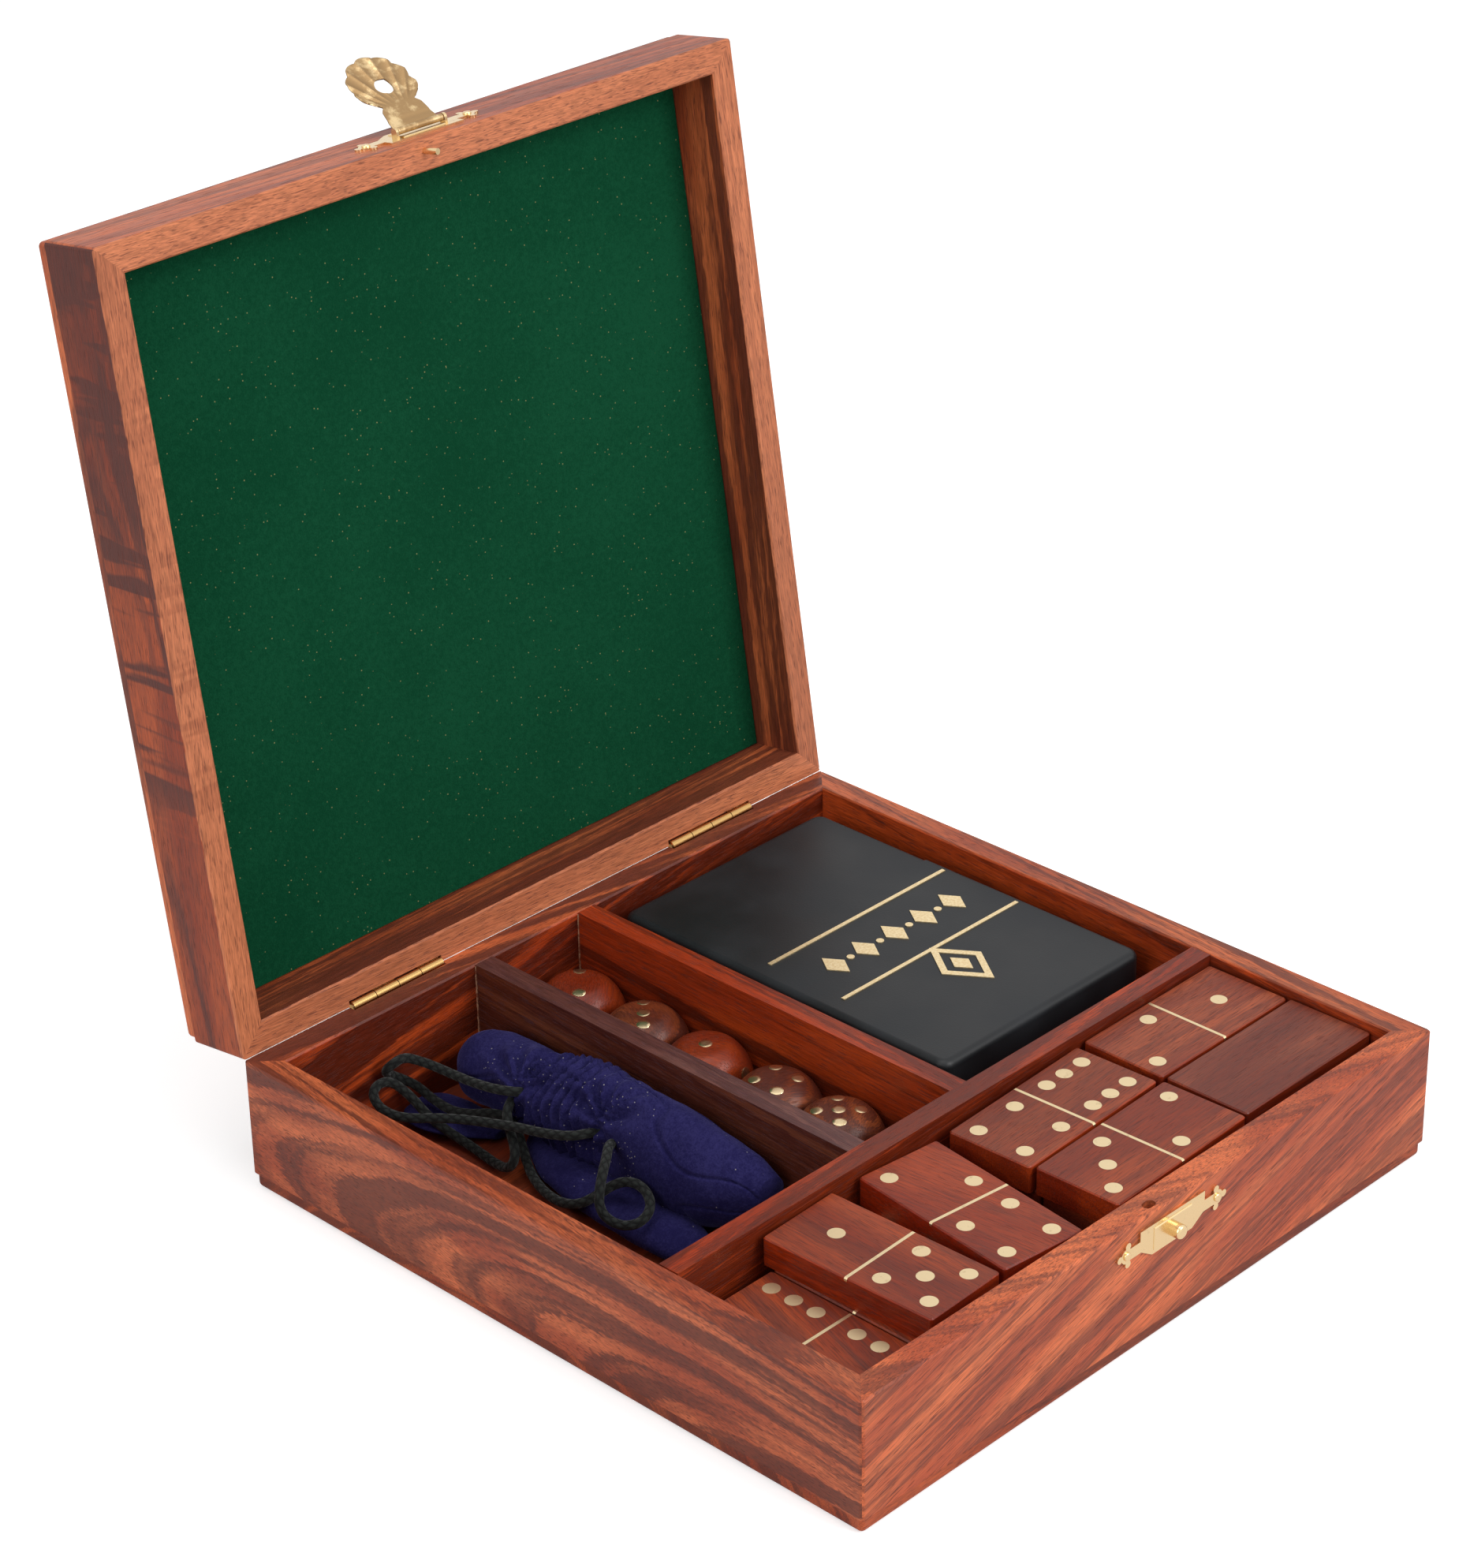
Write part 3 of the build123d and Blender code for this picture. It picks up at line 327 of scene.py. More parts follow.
def pile_group():
    """Velvet pile: fine grain, clouds where it lies over, and scattered lint."""
    group, given, out = new_group(
        "Velvet pile",
        [
            ("Vector", "vector", None),
            ("Cloud Scale", "value", 1.0),
            ("Lint Share", "value", 0.1),
            ("Pile", "colour", (0.0, 0.1, 0.05)),
            ("Worn", "colour", (0.0, 0.15, 0.08)),
            ("Lint", "colour", (0.5, 0.45, 0.3)),
        ],
        [("Color", "colour"), ("Height", "value")],
    )
    vector = given["Vector"]
    broad = clouds(group, vector, given["Cloud Scale"], detail=4.0, roughness=0.6)
    grain = clouds(group, vector, scale=2600.0, detail=1.0)
    tufts = clouds(group, vector, scale=900.0, detail=2.0)
    level = maths(group, "MULTIPLY_ADD", grain, 0.9, maths(group, "MULTIPLY_ADD", tufts, 0.9, broad))
    shade = mixed(group, smooth_step(group, level, 1.1, 1.75), given["Pile"], given["Worn"])
    cells = add(group, "TexVoronoi", {"Vector": vector, "Scale": 1000.0}, distance="EUCLIDEAN")
    chosen = add(group, "SeparateColor", {0: cells.outputs["Color"]}).outputs[0]
    chosen = maths(group, "LESS_THAN", chosen, given["Lint Share"])
    specks = maths(group, "MULTIPLY", chosen, smooth_step(group, cells.outputs["Distance"], 0.10, 0.19, 1.0, 0.0))
    put(group, out["Color"], mixed(group, maths(group, "MULTIPLY", specks, 0.55), shade, given["Lint"]))
    put(group, out["Height"], maths(group, "ADD", grain, tufts))
    return group


def tarnish_group():
    """Brass with cloudy tarnish and small dark spots."""
    group, given, out = new_group(
        "Tarnish",
        [
            ("Vector", "vector", None),
            ("Amount", "value", 0.3),
            ("Clean", "colour", (0.8, 0.6, 0.3)),
            ("Tarnished", "colour", (0.4, 0.25, 0.1)),
        ],
        [("Color", "colour"), ("Roughness", "value"), ("Height", "value")],
    )
    vector = given["Vector"]
    broad = clouds(group, vector, scale=260.0, detail=4.0, roughness=0.65)
    spots = clouds(group, vector, scale=1400.0, detail=2.0)
    start = maths(group, "MULTIPLY_ADD", given["Amount"], -0.5, 0.72)
    stain = smooth_step(group, broad, start, maths(group, "ADD", start, 0.25))
    stain = maths(group, "MAXIMUM", stain, smooth_step(group, spots, 0.68, 0.80, 0.0, 0.6))
    put(group, out["Color"], mixed(group, stain, given["Clean"], given["Tarnished"]))
    put(group, out["Roughness"], maths(group, "MULTIPLY_ADD", stain, 0.22, 0.24))
    put(group, out["Height"], maths(group, "MULTIPLY_ADD", spots, 0.4, broad))
    return group


GROUPS = {}


def group_named(name):
    makers = {"wood": figured_wood_group, "pile": pile_group, "tarnish": tarnish_group}
    if name not in GROUPS:
        GROUPS[name] = makers[name]()
    return GROUPS[name]


def new_material(name, **constants):
    """A material with its Principled BSDF; constants are set on the shader's own sockets."""
    material = bpy.data.materials.new(name)
    material.use_nodes = True
    tree = material.node_tree
    shader = tree.nodes["Principled BSDF"]
    for key, value in constants.items():
        put(tree, shader.inputs[key.replace("_", " ")], value)
    return material, tree, shader


def bump(tree, shader, height, distance, strength=1.0):
    sockets = {"Height": height, "Distance": distance, "Strength": strength}
    put(tree, shader.inputs["Normal"], add(tree, "Bump", sockets).outputs[0])


def colour_by(tree, shader, level, low, high, first, second):
    """Feeds the base colour with one colour below a level, the other above it."""
    put(tree, shader.inputs["Base Color"], mixed(tree, smooth_step(tree, level, low, high), first, second))


def object_place(tree):
    return add(tree, "TexCoord").outputs["Object"]


def mapping(tree, vector, matrix, scale=1.0):
    """Turns and moves a vector by a matrix, as one Mapping node, and scales what comes out."""
    turn = matrix.to_3x3().to_euler("XYZ")
    sockets = {
        "Vector": vector,
        "Location": matrix.to_translation() * scale,
        "Rotation": turn,
        "Scale": (scale, scale, scale),
    }
    return add(tree, "Mapping", sockets, vector_type="POINT").outputs[0]


def trunk_matrix(pith, along):
    """Takes a point of the box to the trunk's own axes, X along the pith line."""
    x_axis = Vector(along).normalized()
    y_axis = Vector((0, 0, 1)).cross(x_axis)
    if y_axis.length < 0.1:
        y_axis = Vector((0, 1, 0)).cross(x_axis)
    y_axis.normalize()
    z_axis = x_axis.cross(y_axis)
    turn = Matrix((x_axis, y_axis, z_axis)).to_4x4()
    return turn @ Matrix.Translation(-Vector(pith) * MM)


def wood_material(name, pith, along, lid=False, rim_z=None, spacing=3.0, waviness=3.0, dark_share=0.5,
                  contrast=1.0, seed=0.0, tint=(1.0, 1.0, 1.0), dark_tint=(1.0, 1.0, 1.0), coat=0.0,
                  flame=0.0, flame_end=0.0, inside=0.0, inner_face=None, painted_shade=(0.85, 0.45, 0.20)):
    """Rosewood for one board; pith and along give its trunk axis in millimetres, with the lid closed."""
    wood = bpy.context.scene.gamesbox_wood
    material, tree, shader = new_material(name, Coat_Weight=coat, Coat_Roughness=0.25, Specular_IOR_Level=0.32)
    place = object_place(tree)
    closing = CLOSED if lid else Matrix.Identity(4)
    sockets = {
        "Vector": mapping(tree, place, trunk_matrix(pith, along) @ closing, 1 / MM),
        "Seed": seed,
        "Ring Spacing": spacing,
        "Waviness": waviness,
        "Dark Share": dark_share,
        "Contrast": contrast,
        "Flame": flame,
        "Flame End": flame_end,
        # the inside share and its darker colour paint shade onto faces inside the box
        "Inside": inside,
        "Deep": painted_shade,
        "Light": tuple(a * b for a, b in zip(wood.light, tint)),
        "Middle": tuple(a * b for a, b in zip(wood.middle, tint)),
        "Dark": tuple(a * b for a, b in zip(wood.dark, dark_tint)),
        "Sanded": tuple(wood.sanded),
    }
    if rim_z is not None:
        level = mapping(tree, place, Matrix.Translation((0, 0, -rim_z * MM)) @ closing, 1 / MM)
        sockets["Rim Distance"] = add(tree, "SeparateXYZ", {0: level}).outputs[2]
    if inner_face is not None:
        # where the wall looks into the box: axis, side of it, and the share of the painted shade
        axis, level, strength = inner_face
        way = 1.0 if level > 0 else -1.0
        parts = add(tree, "SeparateXYZ", {0: mapping(tree, place, closing, 1 / MM)}).outputs
        depth = maths(tree, "MULTIPLY", maths(tree, "SUBTRACT", parts[axis], level), way)
        sockets["Inside"] = smooth_step(tree, depth, -0.1, 0.5, strength, 0.0)
    figure = use_group(tree, group_named("wood"), sockets)
    put(tree, shader.inputs["Base Color"], figure["Color"])
    put(tree, shader.inputs["Roughness"], figure["Roughness"])
    bump(tree, shader, figure["Height"], 0.00005, 0.5)
    return material


def brass_material(name, clean, amount, roughness_shift=0.0):
    brass = bpy.context.scene.gamesbox_brass
    material, tree, shader = new_material(name, Metallic=1.0)
    look = use_group(
        tree,
        group_named("tarnish"),
        {"Vector": object_place(tree), "Amount": amount, "Clean": tuple(clean), "Tarnished": tuple(brass.tarnished)},
    )
    put(tree, shader.inputs["Base Color"], look["Color"])
    put(tree, shader.inputs["Roughness"], maths(tree, "ADD", look["Roughness"], roughness_shift))
    bump(tree, shader, look["Height"], 0.00003, 0.4)
    return material


def finish_node(name, material):
    """Gives a CAD node one material."""
    mesh = NODES[name].data
    mesh.materials.clear()
    mesh.materials.append(material)


# ---- meshes ----
def placed(name, data):
    """A new object in the scene."""
    thing = bpy.data.objects.new(name, data)
    bpy.context.scene.collection.objects.link(thing)
    return thing


def new_piece(name, mesh, material, body, slot_name, *stands_for):
    """Puts a finished mesh in the scene as a piece that rides on a body."""
    piece = placed(name, mesh)
    mesh.materials.clear()
    mesh.materials.append(material)
    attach(piece, body)
    if stands_for:
        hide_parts(*stands_for)
    return piece


def mesh_from(shape, name, smooth_angle=40.0):
    """Writes a bmesh to a mesh, outward and smooth except across sharp edges."""
    bmesh.ops.recalc_face_normals(shape, faces=shape.faces)
    sharp = math.radians(smooth_angle)
    for face in shape.faces:
        face.smooth = True
    for edge in shape.edges:
        if len(edge.link_faces) == 2 and edge.calc_face_angle() > sharp:
            edge.smooth = False
    mesh = bpy.data.meshes.new(name)
    shape.to_mesh(mesh)
    shape.free()
    return mesh


def applied(mesh, *modifiers):
    """The mesh with modifiers applied, each given as (type, settings)."""
    carrier = placed("carrier", mesh)
    for kind, settings in modifiers:
        modifier = carrier.modifiers.new(kind, kind)
        for key, value in settings.items():
            setattr(modifier, key, value)
    bpy.context.view_layer.update()
    depsgraph = bpy.context.evaluated_depsgraph_get()
    result = bpy.data.meshes.new_from_object(carrier.evaluated_get(depsgraph))
    bpy.data.objects.remove(carrier)
    return result


PIP_CELLS = {
    1: ((0, 0),),
    2: ((-1, -1), (1, 1)),
    3: ((-1, -1), (0, 0), (1, 1)),
    4: ((-1, -1), (-1, 1), (1, -1), (1, 1)),
    5: ((-1, -1), (-1, 1), (0, 0), (1, -1), (1, 1)),
    6: ((-1, -1), (-1, 0), (-1, 1), (1, -1), (1, 0), (1, 1)),
}


def close_ends(shape):
    bmesh.ops.holes_fill(shape, edges=[edge for edge in shape.edges if edge.is_boundary], sides=0)


def wrapped(columns, rows, place, close_around=True):
    """A grid bent into a tube or sheet; place gives each corner's point from (around, along), each 0 to 1."""
    shape = bmesh.new()
    shape.loops.layers.uv.new("UVMap")
    bmesh.ops.create_grid(shape, x_segments=columns, y_segments=rows, size=0.5, calc_uvs=True)
    for vert in shape.verts:
        vert.co = place(vert.co.x + 0.5, vert.co.y + 0.5)
    if close_around:
        bmesh.ops.remove_doubles(shape, verts=shape.verts, dist=1e-6)
    return shape


def dress_boards(boards, **shared):
    """Gives each board of a table its own wood."""
    for name, board in boards.items():
        finish_node(name, wood_material(name, **board, **shared))


# ---- base ----
FIBRE_HEIGHT = 0.03106
FIBRE_DROOP = 0.00022
BEAD_CUTS = 30
BEAD_ROUGHNESS = 0.00010
BEAD_SHIFT = Vector((9.3, -1.5, -7.9))


class GAMESBOX_OT_base(bpy.types.Operator):
    """Gives the base's walls, panel and dividers their boards of rosewood"""

    bl_idname = "gamesbox.base"
    bl_label = "Base"

    def execute(self, context):
        # painted shade: the walls' inner faces, the panel's floor, the dividers and the pouch divider's faces below
        # its top are darkened to a redder colour, standing in for the shade inside the box
        dress_boards({
            "base_left_wall": dict(
                pith=(-57, 80, 13), along=(-0.16, -1, -0.10), spacing=1.5, waviness=3.4, dark_share=0.55,
                contrast=0.80, seed=1.3, tint=(0.95, 0.95, 1.05), inner_face=(0, -82.5, 1.0)),
            "base_front_wall": dict(
                pith=(0, -48, -42), along=(1, 0.02, 0.28), spacing=1.0, waviness=1.2, dark_share=0.42,
                contrast=0.60, seed=4.1, tint=(1.12, 1.08, 1.10), inner_face=(1, -81.5, 1.0)),
            "base_right_wall": dict(
                pith=(50, 0, 4), along=(0.05, 1, 0.06), spacing=1.6, waviness=2.6, dark_share=0.45,
                contrast=0.75, seed=7.7, inner_face=(0, 82.5, 1.0)),
            "base_back_wall": dict(
                pith=(10, 60, 50), along=(1, -0.06, 0.10), spacing=2.4, waviness=4.5, dark_share=0.62,
                contrast=0.9, seed=9.2, inner_face=(1, 81.5, 1.0)),
            "bottom_panel": dict(
                pith=(0, 30, -60), along=(1, 0.08, 0.02), spacing=2.4, dark_share=0.5, contrast=0.7, seed=3.0,
                tint=(0.8, 0.8, 0.8), inside=0.5),
            "long_divider": dict(
                pith=(0, -20, 60), along=(1, 0.02, 0.05), spacing=1.5, dark_share=0.55, contrast=0.8, seed=5.5,
                inside=1.0),
            "pouch_dice_divider": dict(
                pith=(-10, 0, 50), along=(0.02, 1, 0.05), spacing=1.3, dark_share=0.6, contrast=0.8, seed=6.4,
                tint=(0.30, 0.62, 1.8), dark_tint=(0.8, 1.3, 2.3), inner_face=(2, 30.9, 1.0)),
            "dice_case_divider": dict(
                pith=(40, 0, 50), along=(0.02, 1, 0.04), spacing=1.6, dark_share=0.45, contrast=0.8, seed=8.4,
                inside=1.0),
        })
        self.torn_fibres_and_gap_shade()
        self.glue_beads()
        return {"FINISHED"}

    def torn_fibres_and_gap_shade(self):
        """A ragged dark lip behind the back rim, beside and between the hinges: torn fibres, and painted shade that
        fills the gap between lid and base.
        """
        material, tree, shader = new_material("torn_fibres_and_gap_shade", Roughness=0.8)
        # dark colours of the torn fibres and of the painted shade in the gap
        shades = clouds(tree, stretched(tree, object_place(tree), (300.0, 2500.0, 2500.0)), detail=2.0)
        colour_by(tree, shader, shades, 0.4, 0.6, (0.05, 0.012, 0.006), (0.20, 0.06, 0.03))
        shape = bmesh.new()
        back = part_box("base_back_wall")[1].y
        ends = [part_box("base_back_wall")[0].x + 0.002]
        for side in ("left", "right"):
            low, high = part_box(side + "_hinge_base_leaf")
            ends += [low.x - 0.0006, high.x + 0.0075]
        ends.append(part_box("base_back_wall")[1].x - 0.002)
        for start, end in zip(ends[::2], ends[1::2]):
            made = bmesh.ops.create_grid(shape, x_segments=160, y_segments=3, size=0.5)
            for vert in made["verts"]:
                along, out = vert.co.x + 0.5, vert.co.y + 0.5
                x = start + (end - start) * along
                ragged = noise.noise(Vector((x * 1800, out, 0.0))) * 0.00012
                vert.co = Vector((x, back - 0.0001 + out * (0.0005 + ragged), FIBRE_HEIGHT - FIBRE_DROOP * out))
        bmesh.ops.solidify(shape, geom=shape.faces, thickness=0.0001)
        new_piece("torn_fibres_and_gap_shade", mesh_from(shape, "torn_fibres_and_gap_shade", 60), material, "base", "box_wood")

    def glue_beads(self):
        """Thin pale beads of glue up the corners where the dividers meet the back wall."""
        material, tree, shader = new_material("dried_glue", Roughness=0.6)
        shades = clouds(tree, object_place(tree), scale=700.0, detail=2.0)
        colour_by(tree, shader, shades, 0.35, 0.65, (0.20, 0.055, 0.025), (0.42, 0.22, 0.13))
        shape = bmesh.new()
        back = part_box("dice_case_divider")[1].y
        low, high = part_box("long_divider")
        for divider in ("pouch_dice_divider", "dice_case_divider"):
            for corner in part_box(divider):
                for y in (back, high.y):
                    made = bmesh.ops.create_cone(shape, cap_ends=True, segments=8, radius1=0.00032, radius2=0.00022,
                                                 depth=high.z - low.z - 0.0008)
                    spot = Vector((corner.x, y, (low.z + high.z) / 2))
                    for vert in made["verts"]:
                        vert.co += spot
                    bead = dict.fromkeys(edge for vert in made["verts"] for edge in vert.link_edges)
                    upright = [edge for edge in bead if abs(edge.verts[0].co.z - edge.verts[1].co.z) > 0.01]
                    bmesh.ops.subdivide_edges(shape, edges=upright, cuts=BEAD_CUTS)
        for vert in shape.verts:
            spot = vert.co * 900
            vert.co += Vector((noise.noise(spot), noise.noise(spot + BEAD_SHIFT), 0)) * BEAD_ROUGHNESS
        new_piece("glue_beads", mesh_from(shape, "glue_beads", 60), material, "base", "divider_wood")


# ---- lid ----
class GAMESBOX_OT_lid(bpy.types.Operator):
    """Gives the lid its boards of rosewood and its green velvet"""

    bl_idname = "gamesbox.lid"
    bl_label = "Lid"

    def execute(self, context):
        dress_boards({
            "lid_left_wall": dict(
                pith=(-60, -60, 44), along=(-0.05, 1, 0.06), spacing=2.6, waviness=6.0, dark_share=0.50,
                contrast=0.95, seed=2.6, tint=(0.66, 0.50, 0.38), flame=1.0, flame_end=95.0),
            "lid_front_wall": dict(
                pith=(0, -60, 90), along=(1, 0.02, -0.10), spacing=1.5, waviness=2.0, dark_share=0.45,
                contrast=0.6, seed=11.0),
            "lid_right_wall": dict(
                pith=(60, 0, 55), along=(0.03, 1, 0.04), spacing=1.6, waviness=2.5, dark_share=0.6,
                contrast=0.8, seed=12.5),
            "lid_back_wall": dict(
                pith=(0, 60, 70), along=(1, 0.04, 0.05), spacing=1.6, waviness=3.0, dark_share=0.6,
                contrast=0.8, seed=13.5),
        }, lid=True, rim_z=LID_RIM)
        dress_boards({
            "lid_top_panel": dict(
                pith=(20, 0, 120), along=(0.06, 1, 0.03), spacing=4.2, waviness=6.0, dark_share=0.55,
                contrast=0.8, seed=15.0),
            "lid_lining_board": dict(
                pith=(0, 0, 120), along=(1, 0, 0), spacing=3.0, dark_share=0.2, contrast=0.3, seed=16.0,
                tint=(1.3, 1.8, 2.0)),
        }, lid=True)
        velvet = context.scene.gamesbox_velvet
        material, tree, shader = new_material(
            "green_velvet", Roughness=0.95, Sheen_Weight=0.06, Sheen_Roughness=0.45, Specular_IOR_Level=0.06,
            Sheen_Tint=(0.35, 0.75, 0.5))
        pile = use_group(tree, group_named("pile"), {
            "Vector": object_place(tree), "Cloud Scale": 22.0, "Lint Share": 0.16,
            "Pile": tuple(velvet.green), "Worn": tuple(velvet.green_worn), "Lint": (0.42, 0.38, 0.16)})
        put(tree, shader.inputs["Base Color"], pile["Color"])
        bump(tree, shader, pile["Height"], 0.0002, 0.6)
        finish_node("lid_velvet_lining", material)
        return {"FINISHED"}


# ---- brass fittings ----
def hasp_matrix():
    """From the hasp drawn hanging shut in its own plane to where it stands on the open lid."""
    turn = Matrix.Translation(HASP_POINT) @ Matrix.Rotation(-HASP_ANGLE, 4, "X")
    return OPENED @ turn @ Matrix.Rotation(math.radians(90), 4, "X")


# the hasp hanging shut from its pin, in millimetres and degrees
FLUTES = 7
FLUTE_ROUND = 3.0
FLUTE_REACH = 9.4
FLUTE_DEPTH = 0.38
SHELL_SPREAD = 60.0
SIDE_SHORTENING = 0.38
FAN_MIDDLE = -8.4
FAN_SWEEP = 88.0
FLUTED_SWEEP = 70.0
CURL_RADIUS = 0.63
CURL_TURN = 290
ROOT_HALF_WIDTH = 6.2
NECK_HALF_WIDTH = 4.4
NECK_DISTANCE = 6.9
SHEET_THICKNESS = 0.34
HOLE_RADIUS = 2.15
# the knob's height above the table, in metres
KNOB_HEIGHT = 0.0248


def flute_end(index):
    """Centre of one flute's rounded end, in millimetres."""
    aside = 2 * index / (FLUTES - 1) - 1
    angle = math.radians(SHELL_SPREAD) * aside
    reach = FLUTE_REACH * (1 - SIDE_SHORTENING * aside * aside)
    return Vector((reach * math.sin(angle), -reach * math.cos(angle)))


def fan_edge(angle):
    """How far the scalloped outline lies from the fan's middle in one direction."""
    way = Vector((math.sin(angle), -math.cos(angle)))
    reach = FLUTE_ROUND
    for index in range(FLUTES):
        centre = flute_end(index)
        ahead = centre.dot(way)
        inside = FLUTE_ROUND ** 2 - centre.length_squared + ahead * ahead
        if inside > 0:
            reach = max(reach, ahead + math.sqrt(inside))
    return way * reach


def hasp_point(across, along):
    """A point of the hasp's sheet, from the curled root (0) to the scalloped edge (1), in millimetres."""
    side = 2 * across - 1
    if along < 0.2:
        turn = math.radians(CURL_TURN) * (1 - along / 0.2)
        return Vector((ROOT_HALF_WIDTH * side, CURL_RADIUS * math.sin(turn), CURL_RADIUS * math.cos(turn)))
    if along < 0.4:
        part = (along - 0.2) / 0.2
        half = ROOT_HALF_WIDTH - part - 0.8 * max(0.0, part - 0.85) / 0.15
        step = 0.16 * math.exp(-((part - 0.42) / 0.08) ** 2)
        return Vector((half * side, -NECK_DISTANCE * part, CURL_RADIUS - 0.15 * part + step))
    part = (along - 0.4) / 0.6
    start = Vector((NECK_HALF_WIDTH * side, -NECK_DISTANCE))
    end = fan_edge(math.radians(FAN_SWEEP) * side) + Vector((0, FAN_MIDDLE))
    spot = start.lerp(end, part)
    flute = (side * FAN_SWEEP + FLUTED_SWEEP) / (2 * FLUTED_SWEEP) * FLUTES
    channel = abs(math.sin(math.pi * min(max(flute, 0.0), float(FLUTES)))) ** 0.7
    depth = FLUTE_DEPTH * channel * min(1.0, part / 0.4) ** 1.5
    dish = -0.10 * part * side * side
    return Vector((spot.x, spot.y, 0.48 + depth + dish))


class GAMESBOX_OT_clasp(bpy.types.Operator):
    """Makes the fluted shell hasp, and finishes the clasp plates, knob and nails"""

    bl_idname = "gamesbox.clasp"
    bl_label = "Clasp"

    def execute(self, context):
        brass = context.scene.gamesbox_brass
        plate = brass_material("brass", brass.clean, 0.25)
        worn = brass_material("tarnished_brass", brass.clean, 0.85, 0.08)
        for name in ("base_clasp_plate", "lid_clasp_plate", "base_clasp_nails", "lid_clasp_nails", "clasp_knob",
                     "hasp_pin", "guide_pin"):
            finish_node(name, plate)
        shape = wrapped(168, 90, hasp_point, close_around=False)
        hole = bmesh.new()
        bmesh.ops.create_cone(hole, cap_ends=True, segments=48, radius1=HOLE_RADIUS, radius2=HOLE_RADIUS, depth=4.0)
        hole_depth = (HASP_POINT.z - KNOB_HEIGHT) / MM
        bmesh.ops.translate(hole, verts=hole.verts, vec=(0, -hole_depth, 0.5))
        cutter = placed("hole_cutter", bpy.data.meshes.new("hole_cutter"))
        hole.to_mesh(cutter.data)
        hole.free()
        cutter.hide_render = True
        sheet = applied(
            mesh_from(shape, "shell_sheet", 80),
            ("SOLIDIFY", {"thickness": SHEET_THICKNESS, "offset": 0.0}),
            ("BOOLEAN", {"object": cutter, "operation": "DIFFERENCE", "solver": "EXACT"}),
        )
        bpy.data.objects.remove(cutter)
        sheet.transform(hasp_matrix() @ Matrix.Scale(MM, 4))
        new_piece("brass_shell_hasp", sheet, worn, "hasp", "tarnished_brass", "shell_hasp")
        return {"FINISHED"}


class GAMESBOX_OT_hinges(bpy.types.Operator):
    """Finishes the two butt hinges in golden brass"""

    bl_idname = "gamesbox.hinges"
    bl_label = "Hinges"

    def execute(self, context):
        brass = context.scene.gamesbox_brass
        barrel = brass_material("hinge_brass", brass.hinge, 0.35)
        for side in ("left", "right"):
            for part in ("_hinge_base_leaf", "_hinge_lid_leaf", "_hinge_pin"):
                finish_node(side + part, barrel)
        return {"FINISHED"}


# ---- card case ----
class GAMESBOX_OT_card_case(bpy.types.Operator):
    """Finishes the black plastic card case, its gold print and the cards inside"""

    bl_idname = "gamesbox.card_case"
    bl_label = "Card case"

    def execute(self, context):
        material, tree, shader = new_material("case_plastic", Roughness=0.5, Specular_IOR_Level=0.35)
        place = object_place(tree)
        grain = clouds(tree, place, scale=2500.0, detail=1.0)
        broad = clouds(tree, place, scale=45.0, detail=3.0)
        colour_by(tree, shader, broad, 0.35, 0.7, (0.0055, 0.0063, 0.0077), (0.0105, 0.0122, 0.0147))
        put(tree, shader.inputs["Roughness"], smooth_step(tree, broad, 0.3, 0.7, 0.42, 0.55))
        bump(tree, shader, grain, 0.00004, 0.35)
        finish_node("card_case_body", material)
        finish_node("card_case_cap", material)
        gold, tree, shader = new_material("gold_print", Metallic=0.85, Roughness=0.4)
        flecks = clouds(tree, object_place(tree), scale=1800.0, detail=2.0)
        colour_by(tree, shader, flecks, 0.3, 0.7, (0.78, 0.58, 0.30), (0.90, 0.74, 0.46))
        finish_node("card_case_gilding", gold)
        cards, tree, shader = new_material("playing_cards", Roughness=0.6)
        layers = stretched(tree, object_place(tree), (20.0, 20.0, 3300.0))
        edge = clouds(tree, layers, scale=1.0, detail=0.0)
        put(tree, shader.inputs["Base Color"], mixed(tree, edge, (0.62, 0.60, 0.56), (0.84, 0.83, 0.80)))
        finish_node("card_deck", cards)
        return {"FINISHED"}


# ---- dice ----
def die_reach(direction, flat, ball):
    """Distance from a die's centre to its skin, blended smoothly between flats and ball."""
    hardness = 30.0
    to_flat = flat / max(abs(direction.x), abs(direction.y), abs(direction.z))
    return (to_flat ** -hardness + ball ** -hardness) ** (-1 / hardness)


# the face that each die shows, from the back wall
DIE_TOPS = (2, 3, 1, 4, 5)
ORANGE_TOPS = (2, 1)
DIE_CUTS = 23


